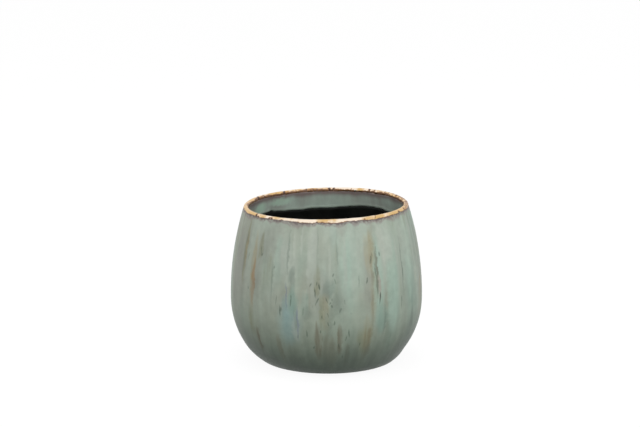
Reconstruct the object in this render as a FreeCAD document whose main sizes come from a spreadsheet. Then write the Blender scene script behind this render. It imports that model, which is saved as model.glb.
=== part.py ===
# A glazed stoneware cachepot. The wall is a body of revolution whose outline is three tangent arcs, and
# every coat on it is a thin solid that follows the same arcs, so each coat seats on the clay all over.
# Heights in the pot are counted from its base edge. Below it are the foot ring and the felt pads, which
# stand on the floor at zero.
import FreeCAD, Part
import math
import os

import Sketcher

SIZES = {
    # outline of the glazed pot: arcs at the heel, the belly and the shoulder
    "belly_radius": 100.0,
    "belly_curve": 89.0,
    "shoulder_curve": 325.0,
    "heel_curve": 36.0,
    "heel_turn": 39.6,  # degrees down from the belly to the joint with the heel
    "base_turn": 59.8,  # degrees down from the belly to the base edge
    # mouth
    "rim_rise": 163.2,
    "rim_tilt": 1.15,  # degrees: the mouth was cut a little out of level
    "lip_round_share": 0.46,  # of the wall with its glaze
    "lip_bevel_share": 0.36,  # of the clay wall, under the round of the glaze
    # clay
    "clay_thickness": 4.0,
    "floor_thickness": 6.0,
    "inner_heel_curve": 26.0,
    "foot_ring_radius": 60.0,
    "foot_ring_width": 10.0,
    "foot_ring_height": 1.6,
    "foot_bevel": 0.6,
    "underside_rise": 1.0,  # how far the underside is hollowed inside the foot ring
    # coats
    "glaze_thickness": 0.6,
    "lining_thickness": 0.4,
    "band_depth": 3.4,
    "collar_depth": 21.8,
    "run_line_reach": 2.0,  # how far the wavy edge of the collar swings from its mean
    # pads
    "pad_radius": 4.5,
    "pad_thickness": 1.2,
    "pad_first_turn": 45.0,  # degrees
    # what a shape that is trimmed, or that trims, reaches past the cut
    "overrun": 6.0,
}
PAD_COUNT = 4
# waves of the run line: how many go round the mouth, the share of the reach, the start in turns
RUN_WAVE_SHARES = ((3, 0.55, 0.18), (5, 0.35, 0.62), (11, 0.18, 0.35))
RUN_LINE_STEPS = 44
RUN_SEAM_SHARE = 0.28  # of a turn, from the seam of the turned coats to the run line's own seam

# heights
BASE_EDGE = "Sizes.pad_thickness + Sizes.foot_ring_height"
HEEL_RISE = "Sizes.heel_curve * sin(Sizes.base_turn)"
BELLY_RISE = "((Sizes.belly_curve - Sizes.heel_curve) * sin(Sizes.heel_turn) + %s)" % HEEL_RISE
BAND_EDGE = "Sizes.rim_rise - Sizes.band_depth"
RUN_LINE = "Sizes.rim_rise - Sizes.collar_depth"
BLANK_TOP = "Sizes.rim_rise + Sizes.overrun"
# depths below the glazed outline
GLAZE_FACE = "0"
CLAY_FACE = "Sizes.glaze_thickness"
CAVITY_FACE = "(Sizes.glaze_thickness + Sizes.clay_thickness)"
COLLAR_FACE = "(2 * Sizes.glaze_thickness + Sizes.clay_thickness)"
LINING_FACE = "(Sizes.glaze_thickness + Sizes.clay_thickness + Sizes.lining_thickness)"

# how a sketch numbers its own axes, and the points of an edge
ORIGIN, VERTICAL_AXIS = range(-1, -3, -1)
START, END, CENTRE = range(1, 4)

doc = FreeCAD.newDocument("cachepot")


def make_sheet():
    """Write every driving size into the document's spreadsheet."""
    made = doc.addObject("Spreadsheet::Sheet", "Sizes")
    for row, (name, value) in enumerate(SIZES.items(), start=1):
        made.set("A%d" % row, name)
        made.set("B%d" % row, str(value))
        made.setAlias("B%d" % row, name)
    doc.recompute()
    return made


sheet = make_sheet()


def number(text):
    """The value of an expression in the sheet's sizes."""
    return float(sheet.evalExpression(text))


def radians(text):
    """The value of an expression in degrees, as an angle for a formula."""
    return math.radians(number(text))


def origin_plane(body, role):
    """One of a body's own origin planes."""
    return next(plane for plane in body.Origin.OriginFeatures if plane.Role == role)


def pot_body(name):
    """A body whose zero height is the pot's base edge."""
    body = doc.addObject("PartDesign::Body", name)
    body.Label = name
    body.setExpression("Placement.Base.z", BASE_EDGE)
    return body


class Section:
    """A closed sketch on the upright plane through the pot's axis: x is a radius, y a height."""

    def __init__(self, body, name):
        self.body = body
        self.sketch = body.newObject("Sketcher::SketchObject", name)
        self.sketch.AttachmentSupport = (origin_plane(body, "XZ_Plane"), [""])
        self.sketch.MapMode = "FlatFace"

    def tie(self, kind, *items):
        """Add a geometric constraint."""
        self.sketch.addConstraint(Sketcher.Constraint(kind, *items))

    def measure(self, kind, items, text):
        """Add a dimension that follows an expression."""
        index = self.sketch.addConstraint(Sketcher.Constraint(kind, *items, number(text)))
        self.sketch.setExpression("Constraints[%d]" % index, text)

    def at_radius(self, item, point, text):
        """Hold a point at a distance from the axis."""
        self.measure("DistanceX", (ORIGIN, START, item, point), text)

    def at_height(self, item, point, text):
        """Hold a point at a height above the base edge."""
        self.measure("DistanceY", (ORIGIN, START, item, point), text)

    def below(self, item, point, text):
        """Hold a point at a depth below the base edge."""
        self.measure("DistanceY", (item, point, ORIGIN, START), text)

    def place(self, item, point):
        """The place of one point of an edge."""
        return self.sketch.getPoint(item, point)

    def arc(self, centre, radius, low_turn, high_turn):
        """Draw an arc that bulges away from the axis, from its low end to its high end."""
        circle = Part.Circle(FreeCAD.Vector(*centre, 0), FreeCAD.Vector(0, 0, 1), radius)
        return self.sketch.addGeometry(Part.ArcOfCircle(circle, low_turn, high_turn))

    def connect(self, first, first_point, last, last_point):
        """Draw a straight edge between two points that edges already have."""
        ends = self.place(first, first_point), self.place(last, last_point)
        item = self.sketch.addGeometry(Part.LineSegment(*ends))
        self.tie("Coincident", first, first_point, item, START)
        self.tie("Coincident", item, END, last, last_point)
        return item

    def run(self, item, point, radius, height):
        """Draw a straight edge from a point of an edge to a new place."""
        end = FreeCAD.Vector(radius, height, 0)
        made = self.sketch.addGeometry(Part.LineSegment(self.place(item, point), end))
        self.tie("Coincident", item, point, made, START)
        return made

    def belly_and_shoulder(self, depth, low_turn, high):
        """Draw the two upper arcs at a depth below the glazed outline; return them low to high."""
        rise, inset = number(BELLY_RISE), number(depth)
        belly_centre = number("Sizes.belly_radius - Sizes.belly_curve"), rise
        belly = self.arc(belly_centre, number("Sizes.belly_curve") - inset, low_turn, 0)
        self.at_radius(belly, CENTRE, "Sizes.belly_radius - Sizes.belly_curve")
        self.at_height(belly, CENTRE, BELLY_RISE)
        self.measure("Radius", (belly,), "Sizes.belly_curve - %s" % depth)
        self.tie("Horizontal", belly, CENTRE, belly, END)
        shoulder_centre = number("Sizes.belly_radius - Sizes.shoulder_curve"), rise
        radius = number("Sizes.shoulder_curve") - inset
        top_turn = math.asin((number(high) - rise) / radius)
        shoulder = self.arc(shoulder_centre, radius, 0, top_turn)
        self.tie("Tangent", belly, END, shoulder, START)
        self.measure("Radius", (shoulder,), "Sizes.shoulder_curve - %s" % depth)
        self.at_height(shoulder, END, high)
        return belly, shoulder

    def outer_arcs(self, depth, high):
        """Draw the outside of the pot from its base edge up; return the lowest and highest arc."""
        turn = radians("Sizes.heel_turn")
        belly, shoulder = self.belly_and_shoulder(depth, -turn, high)
        step = number("Sizes.belly_curve - Sizes.heel_curve")
        centre_radius = number("Sizes.belly_radius - Sizes.belly_curve") + step * math.cos(turn)
        centre_height = number(BELLY_RISE) - step * math.sin(turn)
        radius = number("Sizes.heel_curve") - number(depth)
        low_turn = -math.asin(centre_height / radius)
        heel = self.arc((centre_radius, centre_height), radius, low_turn, -turn)
        self.tie("Tangent", heel, END, belly, START)
        self.measure("Radius", (heel,), "Sizes.heel_curve - %s" % depth)
        joint = "%s - (Sizes.belly_curve - %s) * sin(Sizes.heel_turn)" % (BELLY_RISE, depth)
        self.at_height(belly, START, joint)
        self.tie("PointOnObject", heel, START, ORIGIN)
        return heel, shoulder

    def inner_arcs(self, coat, high):
        """Draw the inside of the pot, under a coat, from the floor's line up; return line and top arc."""
        depth = "(%s + %s)" % (CAVITY_FACE, coat)
        floor = number("Sizes.floor_thickness + %s" % coat)
        radius = number("Sizes.inner_heel_curve - %s" % coat)
        reach = number("Sizes.belly_curve - %s" % depth) - radius
        drop = number(BELLY_RISE) - floor - radius
        turn = math.asin(drop / reach)
        belly, shoulder = self.belly_and_shoulder(depth, -turn, high)
        centre_radius = number("Sizes.belly_radius - Sizes.belly_curve") + reach * math.cos(turn)
        heel = self.arc((centre_radius, floor + radius), radius, -math.pi / 2, -turn)
        self.tie("Tangent", heel, END, belly, START)
        self.measure("Radius", (heel,), "Sizes.inner_heel_curve - %s" % coat)
        ends = self.place(heel, START), FreeCAD.Vector(0, floor, 0)
        line = self.sketch.addGeometry(Part.LineSegment(*ends))
        self.tie("Tangent", heel, START, line, START)
        self.tie("Horizontal", line)
        self.tie("PointOnObject", line, END, VERTICAL_AXIS)
        self.at_height(line, END, "Sizes.floor_thickness + %s" % coat)
        return line, shoulder

    def shoulder_arc(self, depth, low, high):
        """Draw the shoulder arc alone, between two heights above the belly."""
        rise = number(BELLY_RISE)
        radius = number("Sizes.shoulder_curve - %s" % depth)
        turns = [math.asin((number(text) - rise) / radius) for text in (low, high)]
        centre = number("Sizes.belly_radius - Sizes.shoulder_curve"), rise
        arc = self.arc(centre, radius, *turns)
        reach = "Sizes.shoulder_curve - Sizes.belly_radius"
        self.measure("DistanceX", (arc, CENTRE, ORIGIN, START), reach)
        self.at_height(arc, CENTRE, BELLY_RISE)
        self.measure("Radius", (arc,), "Sizes.shoulder_curve - %s" % depth)
        self.at_height(arc, START, low)
        self.at_height(arc, END, high)
        return arc

    def turn_into(self, kind, name):
        """Turn the section about the pot's axis, as a Revolution or as a Groove."""
        if self.sketch.solve() or not self.sketch.FullyConstrained:
            raise RuntimeError("the sketch %s isn't settled" % self.sketch.Name)
        feature = self.body.newObject("PartDesign::%s" % kind, name)
        feature.Profile = self.sketch
        feature.ReferenceAxis = (self.sketch, ["V_Axis"])
        feature.Angle = 360
        doc.recompute()
        return feature


def tilted_at(height):
    """A place on the axis at a height, turned to the tilt of the mouth."""
    tilt = FreeCAD.Rotation(FreeCAD.Vector(0, -1, 0), number("Sizes.rim_tilt"))
    return FreeCAD.Placement(FreeCAD.Vector(0, 0, number(height)), tilt)


def trim(body, name, height, above):
    """Cut a body along the tilted plane of the mouth at a height, and drop what is above or below it."""
    before = body.Shape.Volume
    sketch = body.newObject("Sketcher::SketchObject", name + "_sketch")
    sketch.AttachmentSupport = (origin_plane(body, "XY_Plane"), [""])
    sketch.MapMode = "FlatFace"
    sketch.AttachmentOffset = tilted_at(height)
    sketch.setExpression(".AttachmentOffset.Base.z", height)
    sketch.setExpression(".AttachmentOffset.Rotation.Angle", "Sizes.rim_tilt")
    middle = FreeCAD.Vector(0, 0, 0)
    circle = Part.Circle(middle, FreeCAD.Vector(0, 0, 1), number("2 * Sizes.belly_radius"))
    sketch.addGeometry(circle)
    sketch.addConstraint(Sketcher.Constraint("Coincident", 0, CENTRE, ORIGIN, START))
    sketch.addConstraint(Sketcher.Constraint("Radius", 0, circle.Radius))
    sketch.setExpression("Constraints[1]", "2 * Sizes.belly_radius")
    pocket = body.newObject("PartDesign::Pocket", name)
    pocket.Profile = sketch
    pocket.Type = "ThroughAll"
    pocket.Reversed = above
    doc.recompute()
    if not 0 < body.Shape.Volume < before:
        raise RuntimeError("%s cuts nothing" % name)
    return pocket


def edges_round(feature, choose):
    """Names of the edges round the highest or the lowest flat face, as choose is max or min."""
    flat = [face for face in feature.Shape.Faces if isinstance(face.Surface, Part.Plane)]
    chosen = choose(flat, key=lambda face: face.CenterOfMass.z)
    names = []
    for index, edge in enumerate(feature.Shape.Edges, start=1):
        if any(edge.isSame(other) for other in chosen.Edges):
            names.append("Edge%d" % index)
    return names


def soften(body, kind, name, choose, size):
    """Round or bevel the edges of a body's highest or lowest flat face."""
    last = body.Tip
    feature = body.newObject("PartDesign::%s" % kind, name)
    feature.Base = (last, edges_round(last, choose))
    feature.setExpression("Radius" if kind == "Fillet" else "Size", size)
    doc.recompute()
    return feature


def make_clay():
    """The fired clay: belly, floor, open mouth with a round lip, and the bare foot ring."""
    body = pot_body("stoneware_body")
    outside = Section(body, "clay_outline")
    heel, shoulder = outside.outer_arcs(CLAY_FACE, BLANK_TOP)
    top = outside.run(shoulder, END, 0, number(BLANK_TOP))
    outside.tie("Horizontal", top)
    outside.tie("PointOnObject", top, END, VERTICAL_AXIS)
    axis = outside.run(top, END, 0, number("Sizes.underside_rise"))
    outside.tie("PointOnObject", axis, END, VERTICAL_AXIS)
    outside.at_height(axis, END, "Sizes.underside_rise")
    ring_inside = "Sizes.foot_ring_radius - Sizes.foot_ring_width"
    hollow = outside.run(axis, END, number(ring_inside), number("Sizes.underside_rise"))
    outside.tie("Horizontal", hollow)
    outside.at_radius(hollow, END, ring_inside)
    inner_wall = outside.run(hollow, END, number(ring_inside), -number("Sizes.foot_ring_height"))
    outside.tie("Vertical", inner_wall)
    outside.below(inner_wall, END, "Sizes.foot_ring_height")
    ring_radius = number("Sizes.foot_ring_radius")
    sole = outside.run(inner_wall, END, ring_radius, -number("Sizes.foot_ring_height"))
    outside.tie("Horizontal", sole)
    outside.at_radius(sole, END, "Sizes.foot_ring_radius")
    outer_wall = outside.run(sole, END, ring_radius, 0)
    outside.tie("Vertical", outer_wall)
    outside.tie("PointOnObject", outer_wall, END, ORIGIN)
    outside.connect(outer_wall, END, heel, START)
    outside.turn_into("Revolution", "clay_blank")

    inside = Section(body, "cavity_outline")
    floor, shoulder = inside.inner_arcs("0", "%s + Sizes.overrun" % BLANK_TOP)
    top = inside.run(shoulder, END, 0, number("%s + Sizes.overrun" % BLANK_TOP))
    inside.tie("Horizontal", top)
    inside.tie("PointOnObject", top, END, VERTICAL_AXIS)
    inside.connect(top, END, floor, END)
    inside.turn_into("Groove", "cavity")

    trim(body, "mouth_cut", "Sizes.rim_rise - Sizes.glaze_thickness", above=True)
    soften(body, "Chamfer", "lip_bevel", max, "Sizes.lip_bevel_share * Sizes.clay_thickness")
    soften(body, "Chamfer", "foot_bevel", min, "Sizes.foot_bevel")
    return body


def make_glaze():
    """The outer coat of celadon glaze, from the base edge up to the lip band."""
    body = pot_body("celadon_glaze")
    section = Section(body, "glaze_outline")
    high = "%s + Sizes.overrun" % BAND_EDGE
    outer_heel, outer_shoulder = section.outer_arcs(GLAZE_FACE, high)
    inner_heel, inner_shoulder = section.outer_arcs(CLAY_FACE, high)
    section.connect(outer_shoulder, END, inner_shoulder, END)
    section.connect(inner_heel, START, outer_heel, START)
    section.turn_into("Revolution", "glaze_coat")
    trim(body, "band_line", BAND_EDGE, above=True)
    return body


def ring_section(body, name, faces, low, high):
    """Revolve the band of wall between two faces of the shoulder and between two heights."""
    section = Section(body, name)
    outer, inner = (section.shoulder_arc(face, low, high) for face in faces)
    section.connect(outer, END, inner, END)
    section.connect(inner, START, outer, START)
    section.turn_into("Revolution", name + "_ring")


def cut_by(name, base, tool):
    """A boolean cut of one object by another, under a name of its own."""
    cut = doc.addObject("Part::Cut", name)
    cut.Label = name
    cut.Base = base
    cut.Tool = tool
    doc.recompute()
    if not 0 < cut.Shape.Volume < base.Shape.Volume:
        raise RuntimeError("%s cuts nothing" % name)
    return cut


def make_band(clay):
    """The gold band: it wraps the lip from the glaze outside to the collar inside."""
    body = pot_body("lip_blank")
    low = "%s - Sizes.overrun" % BAND_EDGE
    ring_section(body, "lip", (GLAZE_FACE, COLLAR_FACE), low, BLANK_TOP)
    trim(body, "lip_top", "Sizes.rim_rise", above=True)
    wall = "(Sizes.clay_thickness + 2 * Sizes.glaze_thickness)"
    soften(body, "Fillet", "lip_round", max, "Sizes.lip_round_share * %s" % wall)
    trim(body, "lip_foot", BAND_EDGE, above=False)
    return cut_by("gold_lip_band", body, clay)


def run_line(radius):
    """The wavy line where the inner glaze stopped running, as a closed curve at a radius."""
    reach = number("Sizes.run_line_reach")
    points = []
    for step in range(RUN_LINE_STEPS):
        turn = 2 * math.pi * (step / RUN_LINE_STEPS + RUN_SEAM_SHARE)
        swing = sum(
            size * math.sin(count * turn + 2 * math.pi * start) for count, size, start in RUN_WAVE_SHARES
        )
        points.append(FreeCAD.Vector(radius * math.cos(turn), radius * math.sin(turn), reach * swing))
    curve = Part.BSplineCurve()
    curve.interpolate(Points=points, PeriodicFlag=True)
    return curve.toShape()


def make_run_cutter(name, line, direction):
    """Everything above, or below, the run line between the hollow of the pot and its outside."""
    cutter = doc.addObject("Part::Extrusion", name)
    cutter.Base = line
    cutter.DirMode = "Custom"
    cutter.Dir = FreeCAD.Vector(0, 0, direction)
    cutter.setExpression("LengthFwd", "4 * Sizes.overrun")
    cutter.Placement = tilted_at("%s + %s" % (BASE_EDGE, RUN_LINE))
    cutter.setExpression("Placement.Base.z", "%s + %s" % (BASE_EDGE, RUN_LINE))
    cutter.setExpression("Placement.Rotation.Angle", "Sizes.rim_tilt")
    return cutter


def make_run_face():
    """The wavy ruled face that parts the collar from the lining."""
    edges = []
    for name, share in (("inner_run_line", 0.5), ("outer_run_line", 1)):
        edge = doc.addObject("Part::Feature", name)
        edge.Shape = run_line(share * number("Sizes.belly_radius"))
        edges.append(edge)
    face = doc.addObject("Part::RuledSurface", "run_face")
    face.Curve1 = (edges[0], [""])
    face.Curve2 = (edges[1], [""])
    doc.recompute()
    return face


def make_collar(run_face):
    """The glaze that runs down the inside of the mouth, to its wavy edge."""
    body = pot_body("collar_blank")
    low = "%s - Sizes.overrun" % RUN_LINE
    high = "%s + Sizes.overrun" % BAND_EDGE
    ring_section(body, "collar", (CAVITY_FACE, COLLAR_FACE), low, high)
    trim(body, "collar_top", BAND_EDGE, above=True)
    cutter = make_run_cutter("below_run_line", run_face, -1)
    return cut_by("celadon_collar", body, cutter)


def make_lining(run_face):
    """The dark sealing coat over the floor and the wall, up to the collar."""
    body = pot_body("lining_blank")
    section = Section(body, "lining_outline")
    high = "%s + Sizes.overrun" % RUN_LINE
    outer_line, outer_shoulder = section.inner_arcs("0", high)
    inner_line, inner_shoulder = section.inner_arcs("Sizes.lining_thickness", high)
    section.connect(outer_shoulder, END, inner_shoulder, END)
    section.connect(outer_line, END, inner_line, END)
    section.turn_into("Revolution", "lining_coat")
    cutter = make_run_cutter("above_run_line", run_face, 1)
    return cut_by("black_lining", body, cutter)


def make_pad(index):
    """One round pad, die-cut from felt, in the middle of the foot ring's width."""
    pad = doc.addObject("Part::Cylinder", "felt_pad_%d" % index)
    pad.Label = pad.Name
    pad.setExpression("Radius", "Sizes.pad_radius")
    pad.setExpression("Height", "Sizes.pad_thickness")
    ring_middle = "(Sizes.foot_ring_radius - Sizes.foot_ring_width / 2)"
    turn = "(Sizes.pad_first_turn + 360 * %d / %d)" % (index - 1, PAD_COUNT)
    pad.setExpression("Placement.Base.x", "%s * cos(%s)" % (ring_middle, turn))
    pad.setExpression("Placement.Base.y", "%s * sin(%s)" % (ring_middle, turn))
    return pad


clay = make_clay()
run_face = make_run_face()
pieces = [clay, make_glaze(), make_band(clay), make_collar(run_face), make_lining(run_face)]
pieces += [make_pad(index) for index in range(1, PAD_COUNT + 1)]
doc.recompute()

for item in doc.Objects:
    if "Invalid" in item.State or "Error" in item.State:
        raise RuntimeError("%s failed: %s" % (item.Name, item.State))
for piece in pieces:
    if piece.Shape.isNull() or not piece.Shape.isValid():
        raise RuntimeError("%s has no valid shape" % piece.Label)

os.makedirs("parts", exist_ok=True)
for piece in pieces:
    piece.Shape.exportStep("parts/%s.step" % piece.Label)
    print(piece.Label, round(piece.Shape.Volume), len(piece.Shape.Solids), piece.Shape.BoundBox)
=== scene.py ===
"""A glazed stoneware cachepot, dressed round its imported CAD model.

Lengths are metres. Heights are counted from the pot's base edge, and angles in degrees from the front of
the pot (-Y) towards its right (+X), unless a name or a docstring says otherwise.
"""
import logging
import math
from dataclasses import dataclass
from enum import Enum

import bpy
import numpy as np
from mathutils import Matrix, Vector


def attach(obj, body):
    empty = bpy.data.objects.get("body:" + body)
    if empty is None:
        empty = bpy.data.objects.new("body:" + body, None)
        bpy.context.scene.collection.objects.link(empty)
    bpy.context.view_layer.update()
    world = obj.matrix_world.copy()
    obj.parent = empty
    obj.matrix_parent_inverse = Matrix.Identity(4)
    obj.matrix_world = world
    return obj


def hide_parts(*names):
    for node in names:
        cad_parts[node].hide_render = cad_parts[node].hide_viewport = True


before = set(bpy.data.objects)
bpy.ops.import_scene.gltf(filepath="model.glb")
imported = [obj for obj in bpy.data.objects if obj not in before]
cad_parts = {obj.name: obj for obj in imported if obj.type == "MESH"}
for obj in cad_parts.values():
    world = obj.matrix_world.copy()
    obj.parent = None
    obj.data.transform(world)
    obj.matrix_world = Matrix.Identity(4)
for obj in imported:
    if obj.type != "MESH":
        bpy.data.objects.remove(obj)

LOG = logging.getLogger("cachepot")
MM = 0.001
BODY = "root"
UV_MAP = "OFBake"

Number = float | np.ndarray
Colour = tuple[float, float, float, float]
Table = tuple[tuple[float, float], ...]


def tone(red: int, green: int, blue: int) -> Colour:
    """A display colour as the linear colour that a shader takes.

    Args:
        red: red from 0 to 255.
        green: green from 0 to 255.
        blue: blue from 0 to 255.

    Returns:
        The linear colour, opaque.
    """
    shares = [channel / 255 for channel in (red, green, blue)]
    linear = [c / 12.92 if c <= 0.04045 else ((c + 0.055) / 1.055) ** 2.4 for c in shares]
    return linear[0], linear[1], linear[2], 1.0


def ease(value: Number, low: float, high: float) -> Number:
    """A smooth step from 0 at low to 1 at high.

    Args:
        value: where to read the step.
        low: where the step starts.
        high: where the step ends; it may be below low.

    Returns:
        The step's height.
    """
    share = np.clip((value - low) / (high - low), 0, 1)
    return share * share * (3 - 2 * share)


class Slot(Enum):
    """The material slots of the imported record."""

    STONEWARE = "stoneware"
    CELADON = "celadon"
    GOLD = "gold"
    INSIDE = "celadon_inside"
    LINING = "lining"
    FELT = "felt"


# The shape of the pot


@dataclass(frozen=True)
class Skin:
    """Places on a section through the pot, with the way that each faces.

    Attributes:
        radius: distances from the axis.
        height: heights above the base edge.
        out_radius: how far the facing points away from the axis.
        out_height: how far the facing points up.
    """

    radius: np.ndarray
    height: np.ndarray
    out_radius: np.ndarray
    out_height: np.ndarray

    def moved(self, reach: Number) -> "Skin":
        """The same places moved along their facing.

        Args:
            reach: how far, in metres; less than zero moves them against their facing.

        Returns:
            The moved places.
        """
        return Skin(
            self.radius + self.out_radius * reach,
            self.height + self.out_height * reach,
            self.out_radius,
            self.out_height,
        )

    def flipped(self) -> "Skin":
        """The same places, facing the other way."""
        return Skin(self.radius, self.height, -self.out_radius, -self.out_height)

    def turned(self) -> "Skin":
        """The same places in the opposite order, facing the other way."""
        return Skin(self.radius[::-1], self.height[::-1], -self.out_radius[::-1], -self.out_height[::-1])


def joined(skins: list[Skin]) -> Skin:
    """Several skins as one, row after row."""
    parts = ("radius", "height", "out_radius", "out_height")
    return Skin(*(np.concatenate([getattr(skin, part) for skin in skins]) for part in parts))


@dataclass(frozen=True)
class Outline:
    """The section of the glazed pot: three tangent arcs outside, and the wall and floor inside."""

    belly_radius: float = 100 * MM
    belly_curve: float = 89 * MM
    shoulder_curve: float = 325 * MM
    heel_curve: float = 36 * MM
    heel_turn: float = math.radians(39.6)
    base_turn: float = math.radians(59.8)
    rim_rise: float = 163.2 * MM
    rim_radius: float = 83.8 * MM
    rim_tilt: float = math.radians(1.15)
    base_edge: float = 2.8 * MM
    glaze: float = 0.6 * MM
    clay: float = 4.0 * MM
    floor: float = 6.0 * MM
    inner_heel: float = 26 * MM
    lip_round: float = 2.392 * MM

    @property
    def belly_rise(self) -> float:
        """The height of the widest place."""
        heel = self.heel_curve * math.sin(self.base_turn)
        return (self.belly_curve - self.heel_curve) * math.sin(self.heel_turn) + heel

    @property
    def heel_length(self) -> float:
        """The length of the heel's arc."""
        return self.heel_curve * (self.base_turn - self.heel_turn)

    @property
    def belly_length(self) -> float:
        """The length of the belly's arc."""
        return self.belly_curve * self.heel_turn

    def crest(self, angle: np.ndarray) -> np.ndarray:
        """The height of the mouth's tilted plane over the lip, at angles in radians."""
        return self.rim_rise + self.rim_radius * math.tan(self.rim_tilt) * np.sin(angle)

    def shoulder_length(self, height: np.ndarray) -> np.ndarray:
        """How far along the outside a height of the shoulder lies."""
        turn = np.arcsin((height - self.belly_rise) / self.shoulder_curve)
        return self.heel_length + self.belly_length + self.shoulder_curve * turn

    def outside(self, length: np.ndarray) -> Skin:
        """The outside of the pot.

        Args:
            length: distances along it from the base edge.

        Returns:
            The places there, facing outwards.
        """
        heel, belly = self.heel_length, self.belly_length
        places = [length < heel, length < heel + belly]
        heel_turn = length / self.heel_curve - self.base_turn
        belly_turn = (length - heel) / self.belly_curve - self.heel_turn
        turn = np.select(places, [heel_turn, belly_turn], (length - heel - belly) / self.shoulder_curve)
        curve = np.select(places, [self.heel_curve, self.belly_curve], self.shoulder_curve)
        reach = self.belly_curve - self.heel_curve
        heel_middle = self.belly_radius - self.belly_curve + reach * math.cos(self.heel_turn)
        belly_middle = self.belly_radius - self.belly_curve
        middle = np.select(places, [heel_middle, belly_middle], self.belly_radius - self.shoulder_curve)
        drop = np.where(places[0], reach * math.sin(self.heel_turn), 0.0)
        return self._arc(turn, middle, self.belly_rise - drop, curve)

    @staticmethod
    def _arc(turn: Number, radius: Number, height: Number, curve: Number) -> Skin:
        """An arc that faces away from its middle, at turns in radians from level."""
        cos, sin = np.cos(turn), np.sin(turn)
        return Skin(radius + curve * cos, height + curve * sin, cos, sin)

    def inner_wall(self, height: np.ndarray) -> Skin:
        """The clay's inner face above the belly, at heights, facing the axis.

        Args:
            height: the heights.

        Returns:
            The places there.
        """
        curve = self.shoulder_curve - self.glaze - self.clay
        sin = (height - self.belly_rise) / curve
        cos = np.sqrt(1 - sin * sin)
        return Skin(self.belly_radius - self.shoulder_curve + curve * cos, height, -cos, -sin)

    def cavity(self, rows: int, top: np.ndarray) -> Skin:
        """The clay's inner face from the middle of the floor up to a height of each column.

        Args:
            rows: how many rows the wall has above the floor.
            top: the height where each column ends, above the belly.

        Returns:
            The places there, facing the hollow of the pot.
        """
        depth = self.glaze + self.clay
        reach = self.belly_curve - depth - self.inner_heel
        turn = math.asin((self.belly_rise - self.floor - self.inner_heel) / reach)
        belly_middle = self.belly_radius - self.belly_curve
        heel_middle = belly_middle + reach * math.cos(turn)
        curve = self.shoulder_curve - depth
        flat = np.linspace(0.03, 1, 14)[:, None] * heel_middle + 0 * top
        heel = np.linspace(-math.pi / 2, -turn, 16)[1:, None] + 0 * top
        belly = np.linspace(-turn, 0, rows // 2)[1:, None] + 0 * top
        shoulder = np.linspace(0, 1, rows // 2)[1:, None] * np.arcsin((top - self.belly_rise) / curve)
        zero = np.zeros_like(flat)
        wall = joined([
            self._arc(heel, heel_middle, self.floor + self.inner_heel, self.inner_heel),
            self._arc(belly, belly_middle, self.belly_rise, self.belly_curve - depth),
            self._arc(shoulder, self.belly_radius - self.shoulder_curve, self.belly_rise, curve),
        ])
        return joined([Skin(flat, zero + self.floor, zero, zero + 1), wall.flipped()])

    def lip(self, crest: np.ndarray, outer_drop: np.ndarray, inner_drop: np.ndarray) -> Skin:
        """The skin of the lip, from outside over the crest to the inside.

        Args:
            crest: the height of the crest at each column.
            outer_drop: how far below the crest the skin starts outside.
            inner_drop: how far below the crest it ends inside.

        Returns:
            The places there, facing away from the wall.
        """
        lean = np.arcsin((crest - self.lip_round - self.belly_rise) / self.shoulder_curve)
        edge = self.belly_radius - self.shoulder_curve + self.shoulder_curve * np.cos(lean)
        edge = edge - self.lip_round * np.tan(lean)
        wall = self.clay + 2 * self.glaze
        outer_top = self.lip_round * (1 - np.sin(lean))
        inner_top = self.lip_round * (1 + np.sin(lean))
        outer_middle = edge - outer_top / np.cos(lean)
        inner_middle = edge + (inner_top - wall) / np.cos(lean)
        low, first, second, last = (np.linspace(0, 1, rows)[:, None] for rows in (8, 9, 13, 6))
        outer_heights = crest - outer_drop + low[:-1] * (outer_drop - outer_top)
        inner_heights = crest - inner_top - last[1:] * (inner_drop - inner_top)
        outer_turns = lean + first * (math.pi / 2 - lean)
        inner_turns = math.pi / 2 + second * (math.pi / 2 + lean)
        return joined([
            self.outside(self.shoulder_length(outer_heights)),
            self._arc(outer_turns, outer_middle, crest - self.lip_round, self.lip_round),
            self._arc(inner_turns, inner_middle, crest - self.lip_round, self.lip_round),
            self.inner_wall(inner_heights).moved(self.glaze),
        ])


def round_table(places: Table, angle: np.ndarray) -> np.ndarray:
    """Read a table that goes once round the pot, with smooth steps between its places.

    Args:
        places: pairs of an angle in degrees from the front and a value, in the order of their angles.
        angle: angles in radians.

    Returns:
        The value at each angle.
    """
    degrees = np.degrees(angle) % 360
    ends = sorted((place % 360, value) for place, value in places)
    ends = [(ends[-1][0] - 360, ends[-1][1]), *ends, (ends[0][0] + 360, ends[0][1])]
    result = np.zeros_like(degrees)
    for (low, first), (high, last) in zip(ends, ends[1:]):
        inside = (degrees >= low) & (degrees < high)
        result = np.where(inside, first + (last - first) * ease(degrees, low, high), result)
    return result


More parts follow.
